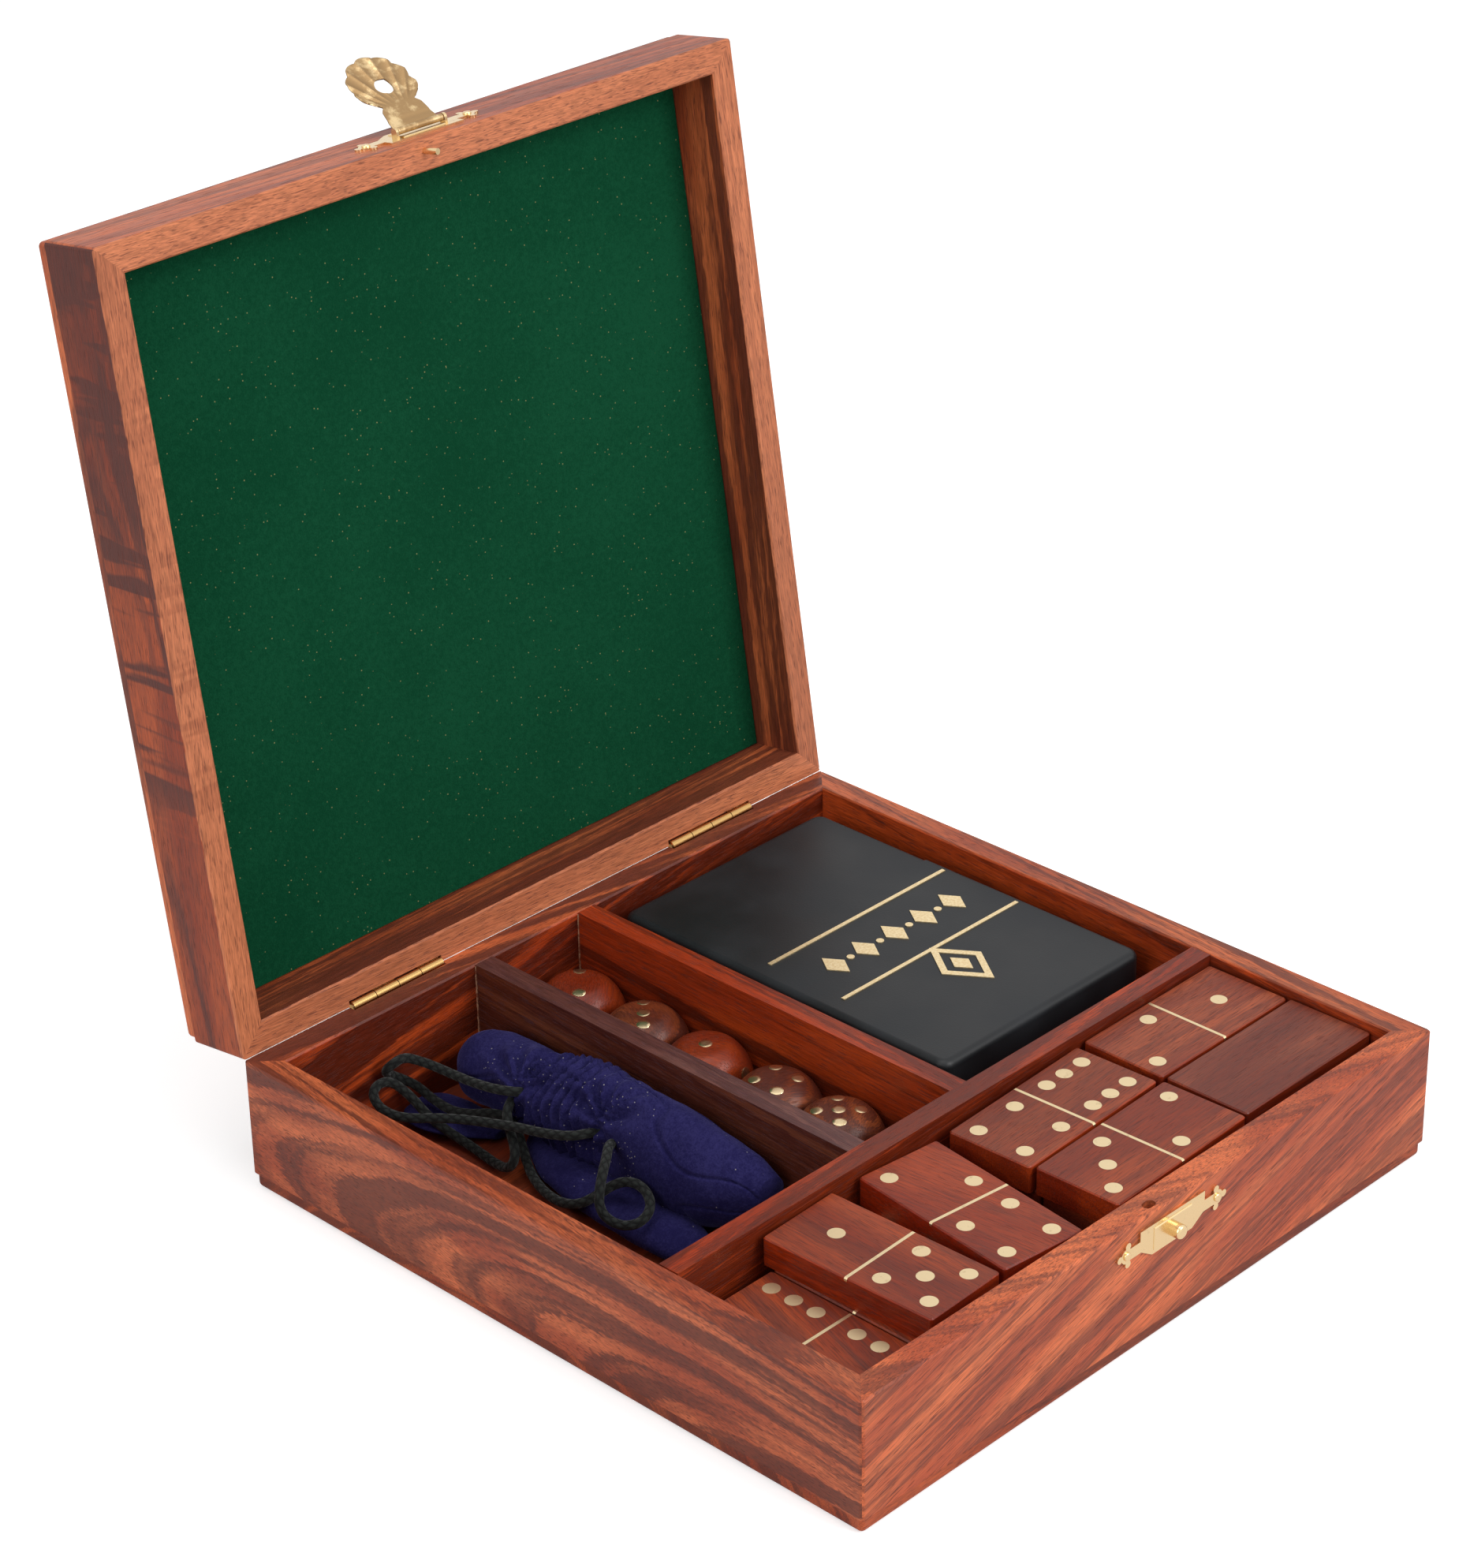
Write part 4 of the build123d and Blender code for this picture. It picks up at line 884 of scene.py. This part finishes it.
class GAMESBOX_OT_dice(bpy.types.Operator):
    """Makes the five rounded wooden dice with their brass pips"""

    bl_idname = "gamesbox.dice"
    bl_label = "Dice"

    def execute(self, context):
        dice = context.scene.gamesbox_dice
        brass = context.scene.gamesbox_brass
        pip_brass = brass_material("inlaid_brass", brass.inlay, 0.35, 0.05)
        flat, ball = dice.size / 2, dice.round_diameter / 2
        for number, top in enumerate(DIE_TOPS, start=1):
            name = "die_" + str(number)
            low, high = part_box(name)
            middle = (low + high) / 2
            orange = top in ORANGE_TOPS
            tint = (0.52, 0.27, 0.10) if orange else (0.42, 0.40, 0.34)
            turn = number * 0.7
            material = wood_material(
                name, pith=tuple((middle / MM) + Vector((9 * math.sin(turn), 4, -16))),
                along=(math.cos(turn), math.sin(turn), 0.25), spacing=1.6, waviness=1.2,
                dark_share=0.35 if orange else 0.55, contrast=0.45 if orange else 0.8, seed=20.0 + number,
                tint=tint, dark_tint=(1.6, 1.2, 0.8) if orange else (0.8, 0.8, 0.8), coat=0.04)
            shape = bmesh.new()
            bmesh.ops.create_cube(shape, size=2.0)
            bmesh.ops.subdivide_edges(shape, edges=shape.edges, cuts=DIE_CUTS, use_grid_fill=True)
            for vert in shape.verts:
                # evens the cells out towards the corners
                spread = Vector([math.tan(value * math.pi / 4) for value in vert.co])
                direction = spread.normalized()
                vert.co = middle + direction * die_reach(direction, flat, ball)
            new_piece("wooden_" + name, mesh_from(shape, "wooden_" + name), material, name,
                      "die_orange_wood" if orange else "die_dark_wood", name)
            around = [value for value in range(1, 7) if value not in (top, 7 - top)]
            faces = (
                (top, Matrix.Identity(4)),
                (7 - top, Matrix.Rotation(math.pi, 4, "X")),
                (around[0], Matrix.Rotation(math.pi / 2, 4, "X")),
                (around[3], Matrix.Rotation(-math.pi / 2, 4, "X")),
                (around[1], Matrix.Rotation(math.pi / 2, 4, "Y")),
                (around[2], Matrix.Rotation(-math.pi / 2, 4, "Y")),
            )
            pips = bmesh.new()
            for value, turn_face in faces:
                for column, row in PIP_CELLS[value]:
                    made = bmesh.ops.create_circle(pips, cap_ends=True, segments=24, radius=dice.pip_radius)
                    disc = made["verts"]
                    face = disc[0].link_faces[0]
                    ring = bmesh.ops.inset_region(
                        pips, faces=[face], thickness=dice.pip_radius * 0.12, use_boundary=True, use_even_offset=True)
                    inner = bmesh.ops.inset_region(
                        pips, faces=[face], thickness=dice.pip_radius * 0.4, use_boundary=True, use_even_offset=True)
                    verts = set(disc) | set(face.verts) | {v for f in ring["faces"] + inner["faces"] for v in f.verts}
                    centre = Vector((column * dice.pip_spacing, row * dice.pip_spacing, flat))
                    edge = set(disc)
                    for vert in verts:
                        spot = centre + Vector((vert.co.x, vert.co.y, 0))
                        direction = spot.normalized()
                        lift = -0.00008 if vert in edge else 0.00004
                        vert.co = middle + turn_face @ (direction * (die_reach(direction, flat, ball) + lift))
            new_piece("brass_pips_" + str(number), mesh_from(pips, "brass_pips_" + str(number)), pip_brass, name,
                      "inlaid_brass", name + "_pips")
        return {"FINISHED"}


# ---- dominoes ----
class GAMESBOX_OT_dominoes(bpy.types.Operator):
    """Gives every domino its own piece of rosewood, and brass to the pips and lines"""

    bl_idname = "gamesbox.dominoes"
    bl_label = "Dominoes"

    def execute(self, context):
        brass = context.scene.gamesbox_brass
        inlay = brass_material("domino_brass", brass.inlay, 0.30, 0.12)
        looks = {
            "domino_a": dict(along=(0.03, 1, 0.02), tint=(0.47, 0.48, 0.52), seed=31.0, dark_share=0.45),
            "domino_b": dict(along=(-0.10, 1, 0.02), tint=(0.50, 0.46, 0.50), seed=32.0, dark_share=0.35),
            "domino_c": dict(along=(1, 0.06, 0.03), tint=(0.58, 0.72, 0.85), seed=33.0, dark_share=0.5),
            "domino_d": dict(along=(1, 0.04, 0.02), tint=(0.48, 0.52, 0.60), seed=34.0, dark_share=0.4),
            "domino_e": dict(along=(1, 0.02, 0.03), tint=(0.52, 0.68, 0.95), seed=35.0, dark_share=0.45),
            "domino_f": dict(along=(1, 0.02, 0.02), tint=(0.36, 0.50, 0.85), seed=36.0, dark_share=0.4),
        }
        for name, look in looks.items():
            low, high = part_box(name)
            middle = (low + high) / 2 / MM
            pith = tuple(middle + Vector((7, 9, -34)))
            # painted shade: each domino's sides below its top take a darker orange-red
            finish_node(name, wood_material(
                name, pith=pith, spacing=1.1, waviness=1.6, contrast=0.55, inner_face=(2, high.z / MM - 0.2, 1.0),
                painted_shade=(1.20, 0.45, 0.12), **look))
            if name + "_inlay" in NODES:
                finish_node(name + "_inlay", inlay)
        finish_node("lower_dominoes", wood_material(
            "lower_dominoes", pith=(10, -30, -24), along=(0.3, 1, 0.02), spacing=1.2, contrast=0.6, seed=37.0,
            tint=(0.55, 0.36, 0.26)))
        finish_node("lower_domino_inlays", inlay)
        return {"FINISHED"}


# ---- pouch and drawstrings ----
# yarns that cross round the braid
STRANDS = 4.0


def cord_path(points, name):
    """The smooth line of a drawstring, as the points of its NURBS spline."""
    curve = bpy.data.curves.new(name + "_route", "CURVE")
    curve.dimensions = "3D"
    curve.resolution_u = 24
    spline = curve.splines.new("NURBS")
    spline.points.add(len(points) - 1)
    for spot, point in zip(spline.points, points):
        spot.co = (*point, 1.0)
    spline.order_u = 3
    spline.use_endpoint_u = True
    carrier = placed(name + "_route", curve)
    bpy.context.view_layer.update()
    line = bpy.data.meshes.new_from_object(carrier.evaluated_get(bpy.context.evaluated_depsgraph_get()))
    path = [vert.co.copy() for vert in line.vertices]
    bpy.data.objects.remove(carrier)
    bpy.data.meshes.remove(line)
    return path


def path_frames(path):
    """Length along the path, direction and a steady side direction at each of its points."""
    lengths = [0.0]
    for before, after in zip(path, path[1:]):
        lengths.append(lengths[-1] + (after - before).length)
    ways = [(after - before).normalized() for before, after in zip(path, path[1:])]
    ways.append(ways[-1])
    side = ways[0].orthogonal().normalized()
    sides = []
    for way in ways:
        side = (side - way * side.dot(way)).normalized()
        sides.append(side.copy())
    return lengths, ways, sides


class GAMESBOX_OT_drawstrings(bpy.types.Operator):
    """Makes the two black braided drawstrings along their routes"""

    bl_idname = "gamesbox.drawstrings"
    bl_label = "Drawstrings"

    def execute(self, context):
        cord = context.scene.gamesbox_cord
        material, tree, shader = new_material(
            "black_cord", Roughness=0.85, Sheen_Weight=0.10, Sheen_Roughness=0.5, Specular_IOR_Level=0.2)
        uv = add(tree, "UVMap", uv_map="UVMap").outputs[0]
        parts = add(tree, "SeparateXYZ", {0: uv}).outputs
        around, along = parts[0], parts[1]
        across = maths(tree, "MULTIPLY", around, STRANDS)
        # the braid's weave: its level paints shade into the hollows and a highlight onto the crowns, and also drives
        # the bump
        one, two = (
            maths(tree, "SINE", maths(tree, "MULTIPLY", maths(tree, operation, along, across), math.pi))
            for operation in ("ADD", "SUBTRACT"))
        weave_relief_and_painted_shade = maths(tree, "ABSOLUTE", maths(tree, "MULTIPLY", one, two))
        fuzz = clouds(tree, object_place(tree), scale=5000.0, detail=2.0)
        level = maths(tree, "MULTIPLY_ADD", fuzz, 0.35, weave_relief_and_painted_shade)
        colour_by(tree, shader, level, 0.25, 1.1, tuple(cord.dark), tuple(cord.light))
        bump(tree, shader, level, 0.0003, 0.8)
        for name, points in (("drawstring_rear", REAR_CORD_POINTS), ("drawstring_front", FRONT_CORD_POINTS)):
            path = cord_path(points, name)
            lengths, ways, sides = path_frames(path)
            rows = len(path) - 1
            pitch = cord.braid_pitch

            def place(around, along, path=path, ways=ways, sides=sides, rows=rows):
                index = round(along * rows)
                way, side = ways[index], sides[index]
                other = way.cross(side)
                angle = around * math.tau
                return path[index] + (side * math.cos(angle) + other * math.sin(angle)) * cord.diameter / 2

            shape = wrapped(14, rows, place)
            layer = shape.loops.layers.uv["UVMap"]
            for face in shape.faces:
                for loop in face.loops:
                    u, v = loop[layer].uv
                    loop[layer].uv = (u, lengths[min(rows, round(v * rows))] / pitch)
            close_ends(shape)
            piece = new_piece("cord_" + name, mesh_from(shape, name, 80), material, "pouch", "black_cord", name)
            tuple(path[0])
        return {"FINISHED"}


# along the pouch: y from the back wall, x from the dice side, height of middle, half width, half height, in metres
POUCH_SECTIONS = (
    (0.0075, 0.0079, 0.0146, 0.0058, 0.0056),
    (0.0125, 0.0085, 0.0148, 0.0082, 0.0080),
    (0.0215, 0.0089, 0.0152, 0.0084, 0.0086),
    (0.0315, 0.0088, 0.0156, 0.0082, 0.0092),
    (0.0415, 0.0090, 0.0160, 0.0085, 0.0109),
    (0.0545, 0.0087, 0.0158, 0.0083, 0.0124),
    (0.0695, 0.0090, 0.0156, 0.0086, 0.0123),
    (0.0815, 0.0090, 0.0158, 0.0085, 0.0108),
    (0.0895, 0.0079, 0.0160, 0.0072, 0.0084),
    (0.0950, 0.0065, 0.0164, 0.0038, 0.0042),
)
FOLD_SECTIONS = (
    (0.0315, 0.0133, 0.0060, 0.0025, 0.0020),
    (0.0375, 0.0148, 0.0064, 0.0050, 0.0028),
    (0.0445, 0.0158, 0.0066, 0.0075, 0.0033),
    (0.0565, 0.0173, 0.0066, 0.0085, 0.0034),
    (0.0715, 0.0188, 0.0066, 0.0080, 0.0034),
    (0.0815, 0.0198, 0.0064, 0.0065, 0.0032),
    (0.0885, 0.0203, 0.0060, 0.0040, 0.0024),
)
FLAP_SECTIONS = (
    (0.0022, 0.0208, 0.0064, 0.0040, 0.0009),
    (0.0055, 0.0208, 0.0064, 0.0065, 0.0014),
    (0.0100, 0.0206, 0.0063, 0.0070, 0.0015),
    (0.0150, 0.0196, 0.0062, 0.0065, 0.0015),
    (0.0195, 0.0170, 0.0060, 0.0055, 0.0013),
    (0.0240, 0.0135, 0.0058, 0.0050, 0.0012),
)
INNER_BACK = 0.0815
POUCH_FLOOR = 0.0039
DIVIDER_CLEARANCE = 0.0002
EYELETS = (Vector((-0.0450, 0.0506, 0.0200)), Vector((-0.0450, 0.0262, 0.0200)))


def section_at(sections, along):
    """A section of the pouch between two of the table's, eased."""
    spot = along * (len(sections) - 1)
    index = min(int(spot), len(sections) - 2)
    part = spot - index
    before = sections[max(index - 1, 0)]
    one, two = sections[index], sections[index + 1]
    after = sections[min(index + 2, len(sections) - 1)]
    values = []
    for a, b, c, d in zip(before, one, two, after):
        values.append(b + 0.5 * part * (c - a + part * (2 * a - 5 * b + 4 * c - d + part * (3 * (b - c) + d - a))))
    return values


class GAMESBOX_OT_pouch(bpy.types.Operator):
    """Makes the indigo velvet pouch with its gathers, eyelets and folds"""

    bl_idname = "gamesbox.pouch"
    bl_label = "Pouch"

    def execute(self, context):
        velvet = context.scene.gamesbox_velvet
        dice_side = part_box("pouch_dice_divider")[0].x
        material, tree, shader = new_material(
            "indigo_velvet", Roughness=0.95, Sheen_Weight=0.18, Sheen_Roughness=0.35, Specular_IOR_Level=0.08,
            Sheen_Tint=(0.35, 0.33, 0.85))
        # lint gathers in the pleats round the eyelets
        gathers = maths(tree, "MINIMUM", *(
            add(tree, "VectorMath", {0: object_place(tree), 1: eyelet}, operation="DISTANCE").outputs["Value"]
            for eyelet in EYELETS))
        lint = smooth_step(tree, gathers, 0.006, 0.016, 0.50, 0.03)
        pile = use_group(tree, group_named("pile"), {
            "Vector": object_place(tree), "Cloud Scale": 90.0, "Lint Share": lint,
            "Pile": tuple(velvet.indigo), "Worn": tuple(velvet.indigo_worn), "Lint": tuple(velvet.lint)})
        put(tree, shader.inputs["Base Color"], pile["Color"])
        bump(tree, shader, pile["Height"], 0.0002, 0.6)

        def place(around, along):
            from_back, from_dice, height, half_width, half_height = section_at(POUCH_SECTIONS, along)
            angle = around * math.tau
            y = INNER_BACK - from_back
            direction = Vector((math.cos(angle), 0, math.sin(angle)))
            point = Vector((dice_side - from_dice + half_width * direction.x, y, height + half_height * direction.z))
            # short pleats that spread from the two eyelets, and the dents of the eyelets
            pull = 0.0
            for eyelet, phase in zip(EYELETS, (0.4, 1.9)):
                away = point - eyelet
                reach = away.length
                turn = math.atan2(away.x, away.y)
                fade = math.exp(-((reach - 0.0060) / 0.0050) ** 2)
                pull += fade * (math.sin(12 * turn + phase + 1.5 * math.sin(3 * turn)) * 0.00115 - 0.0001)
                pull += 0.0009 * math.exp(-((reach - 0.0022) / 0.0012) ** 2)
            band = math.exp(-((from_back - 0.042) / 0.0085) ** 2)
            gather = from_back * 2500 + 2.2 * math.sin(3 * angle) + 3.0 * noise.noise(point * 130)
            pull += band * math.sin(gather) * 0.00125
            crease = abs(noise.noise(Vector((point.x * 95, point.y * 38, point.z * 95)) + Vector((3.1, 0, 0))))
            pull -= 0.0006 * math.exp(-(crease / 0.035) ** 2)
            pull += noise.noise(point * 70) * 0.0009 + noise.noise(point * 230) * 0.0003
            point += direction * pull
            point.x = min(point.x, dice_side - DIVIDER_CLEARANCE)
            point.z = max(point.z, POUCH_FLOOR)
            return point

        shape = wrapped(180, 150, place)
        close_ends(shape)
        bag = new_piece("velvet_pouch", mesh_from(shape, "velvet_pouch", 80), material, "pouch",
                        "indigo_velvet", "pouch_bag")

        for name, sections, fill, ripple in (
            ("velvet_pouch_fold", FOLD_SECTIONS, 0.2, 0.0006),
            ("velvet_pouch_flap", FLAP_SECTIONS, 0.1, 0.0011),
        ):
            def place_loose(around, along, sections=sections, ripple=ripple):
                from_back, from_dice, height, half_width, half_height = section_at(sections, along)
                angle = around * math.tau
                point = Vector((dice_side - from_dice + half_width * math.cos(angle), INNER_BACK - from_back, height))
                point.z += noise.noise(Vector((point.x * 130, point.y * 130, 1.5))) * ripple
                point.z = max(point.z + half_height * math.sin(angle), POUCH_FLOOR)
                return point

            shape = wrapped(64, 60, place_loose)
            close_ends(shape)
            loose = new_piece(name, mesh_from(shape, name, 80), material, "pouch", "indigo_velvet")
        return {"FINISHED"}


# ---- stage ----
FLOOR_GLOW = 0.5


class GAMESBOX_OT_stage(bpy.types.Operator):
    """Sets up the pale floor, the soft light and the photograph's camera"""

    bl_idname = "gamesbox.stage"
    bl_label = "Stage"

    def execute(self, context):
        settings = context.scene.gamesbox_stage
        scene = context.scene
        scene.view_settings.view_transform = "Standard"
        shape = bmesh.new()
        bmesh.ops.create_grid(shape, x_segments=1, y_segments=1, size=6.0)
        bmesh.ops.translate(shape, verts=shape.verts, vec=(0, 0, -0.0001))
        mesh = bpy.data.meshes.new("floor")
        shape.to_mesh(mesh)
        shape.free()
        floor = placed("floor", mesh)
        material, tree, shader = new_material("floor", Roughness=0.9, Specular_IOR_Level=0.0)
        grain = clouds(tree, object_place(tree), scale=3.0, detail=1.0)
        pale = tuple(settings.floor)
        paler = tuple(min(1.0, value * 1.02) for value in pale)
        put(tree, shader.inputs["Base Color"], mixed(tree, grain, pale, paler))
        seen = add(tree, "LightPath").outputs["Is Camera Ray"]
        strength = maths(tree, "MULTIPLY", seen, FLOOR_GLOW)
        glow = add(tree, "Emission", {"Color": (1.0, 1.0, 1.0), "Strength": strength}).outputs[0]
        both = add(tree, "AddShader", {0: shader.outputs[0], 1: glow}).outputs[0]
        put(tree, tree.nodes["Material Output"].inputs["Surface"], both)
        mesh.materials.append(material)

        world = bpy.data.worlds.new("studio")
        scene.world = world
        world.use_nodes = True
        tree = world.node_tree
        paths = add(tree, "LightPath").outputs
        plain = maths(tree, "MAXIMUM", paths["Is Camera Ray"], paths["Is Transmission Ray"])
        plain = maths(tree, "MAXIMUM", plain, paths["Is Glossy Ray"])
        strength = maths(tree, "ADD", maths(tree, "MULTIPLY", plain, 1.0 - settings.ambient), settings.ambient)
        background = tree.nodes["Background"]
        put(tree, background.inputs["Color"], (1.0, 1.0, 1.0))
        put(tree, background.inputs["Strength"], strength)

        for name, place, power, size in (
            ("key_lamp", (0.35, -1.15, 0.95), settings.key_power, 0.7),
            ("fill_lamp", (-1.20, -0.10, 0.70), settings.fill_power, 0.8),
            ("top_lamp", (-0.10, 0.05, 1.50), settings.top_power, 0.8),
        ):
            lamp = bpy.data.lights.new(name, "AREA")
            lamp.energy = power
            lamp.size = size
            thing = placed(name, lamp)
            thing.location = place
            aim = Vector((0.0, 0.0, 0.05)) - Vector(place)
            thing.rotation_euler = aim.to_track_quat("-Z", "Y").to_euler()

        camera = bpy.data.cameras.new("photo_camera")
        camera.sensor_width = 36.0
        camera.lens = FOCAL_PIXELS * camera.sensor_width / PHOTO_HEIGHT
        camera.clip_start = 0.01
        thing = placed("photo_camera", camera)
        turn = Matrix((CAMERA_RIGHT, -CAMERA_DOWN, -CAMERA_FORWARD)).transposed()
        thing.matrix_world = Matrix.Translation(CAMERA_PLACE) @ turn.to_4x4()
        scene.camera = thing
        return {"FINISHED"}


class GAMESBOX_PT_panel(bpy.types.Panel):
    """Lists the games box's pieces and their settings"""

    bl_idname = "GAMESBOX_PT_panel"
    bl_label = "Games box"
    bl_space_type = "VIEW_3D"
    bl_region_type = "UI"
    bl_category = "Games box"

    def draw(self, context):
        layout = self.layout
        for name in SETTINGS:
            settings = getattr(context.scene, name)
            box = layout.box()
            for key in settings.__annotations__:
                box.prop(settings, key)
        for operator in OPERATORS:
            layout.operator(operator.bl_idname)


SETTINGS = {
    "gamesbox_wood": GAMESBOX_PG_wood,
    "gamesbox_brass": GAMESBOX_PG_brass,
    "gamesbox_velvet": GAMESBOX_PG_velvet,
    "gamesbox_cord": GAMESBOX_PG_cord,
    "gamesbox_dice": GAMESBOX_PG_dice,
    "gamesbox_stage": GAMESBOX_PG_stage,
}
OPERATORS = (
    GAMESBOX_OT_drawstrings,
    GAMESBOX_OT_pouch,
    GAMESBOX_OT_base,
    GAMESBOX_OT_lid,
    GAMESBOX_OT_clasp,
    GAMESBOX_OT_hinges,
    GAMESBOX_OT_card_case,
    GAMESBOX_OT_dice,
    GAMESBOX_OT_dominoes,
    GAMESBOX_OT_stage,
)


def register():
    for kind in (*SETTINGS.values(), *OPERATORS, GAMESBOX_PT_panel):
        bpy.utils.register_class(kind)
    for name, kind in SETTINGS.items():
        setattr(bpy.types.Scene, name, bpy.props.PointerProperty(type=kind))


def unregister():
    for name in SETTINGS:
        delattr(bpy.types.Scene, name)
    for kind in (GAMESBOX_PT_panel, *reversed(OPERATORS), *reversed(list(SETTINGS.values()))):
        bpy.utils.unregister_class(kind)


def main():
    register()
    for operator in OPERATORS:
        family, name = operator.bl_idname.split(".")
        getattr(getattr(bpy.ops, family), name)()


if __name__ == "__main__":
    main()
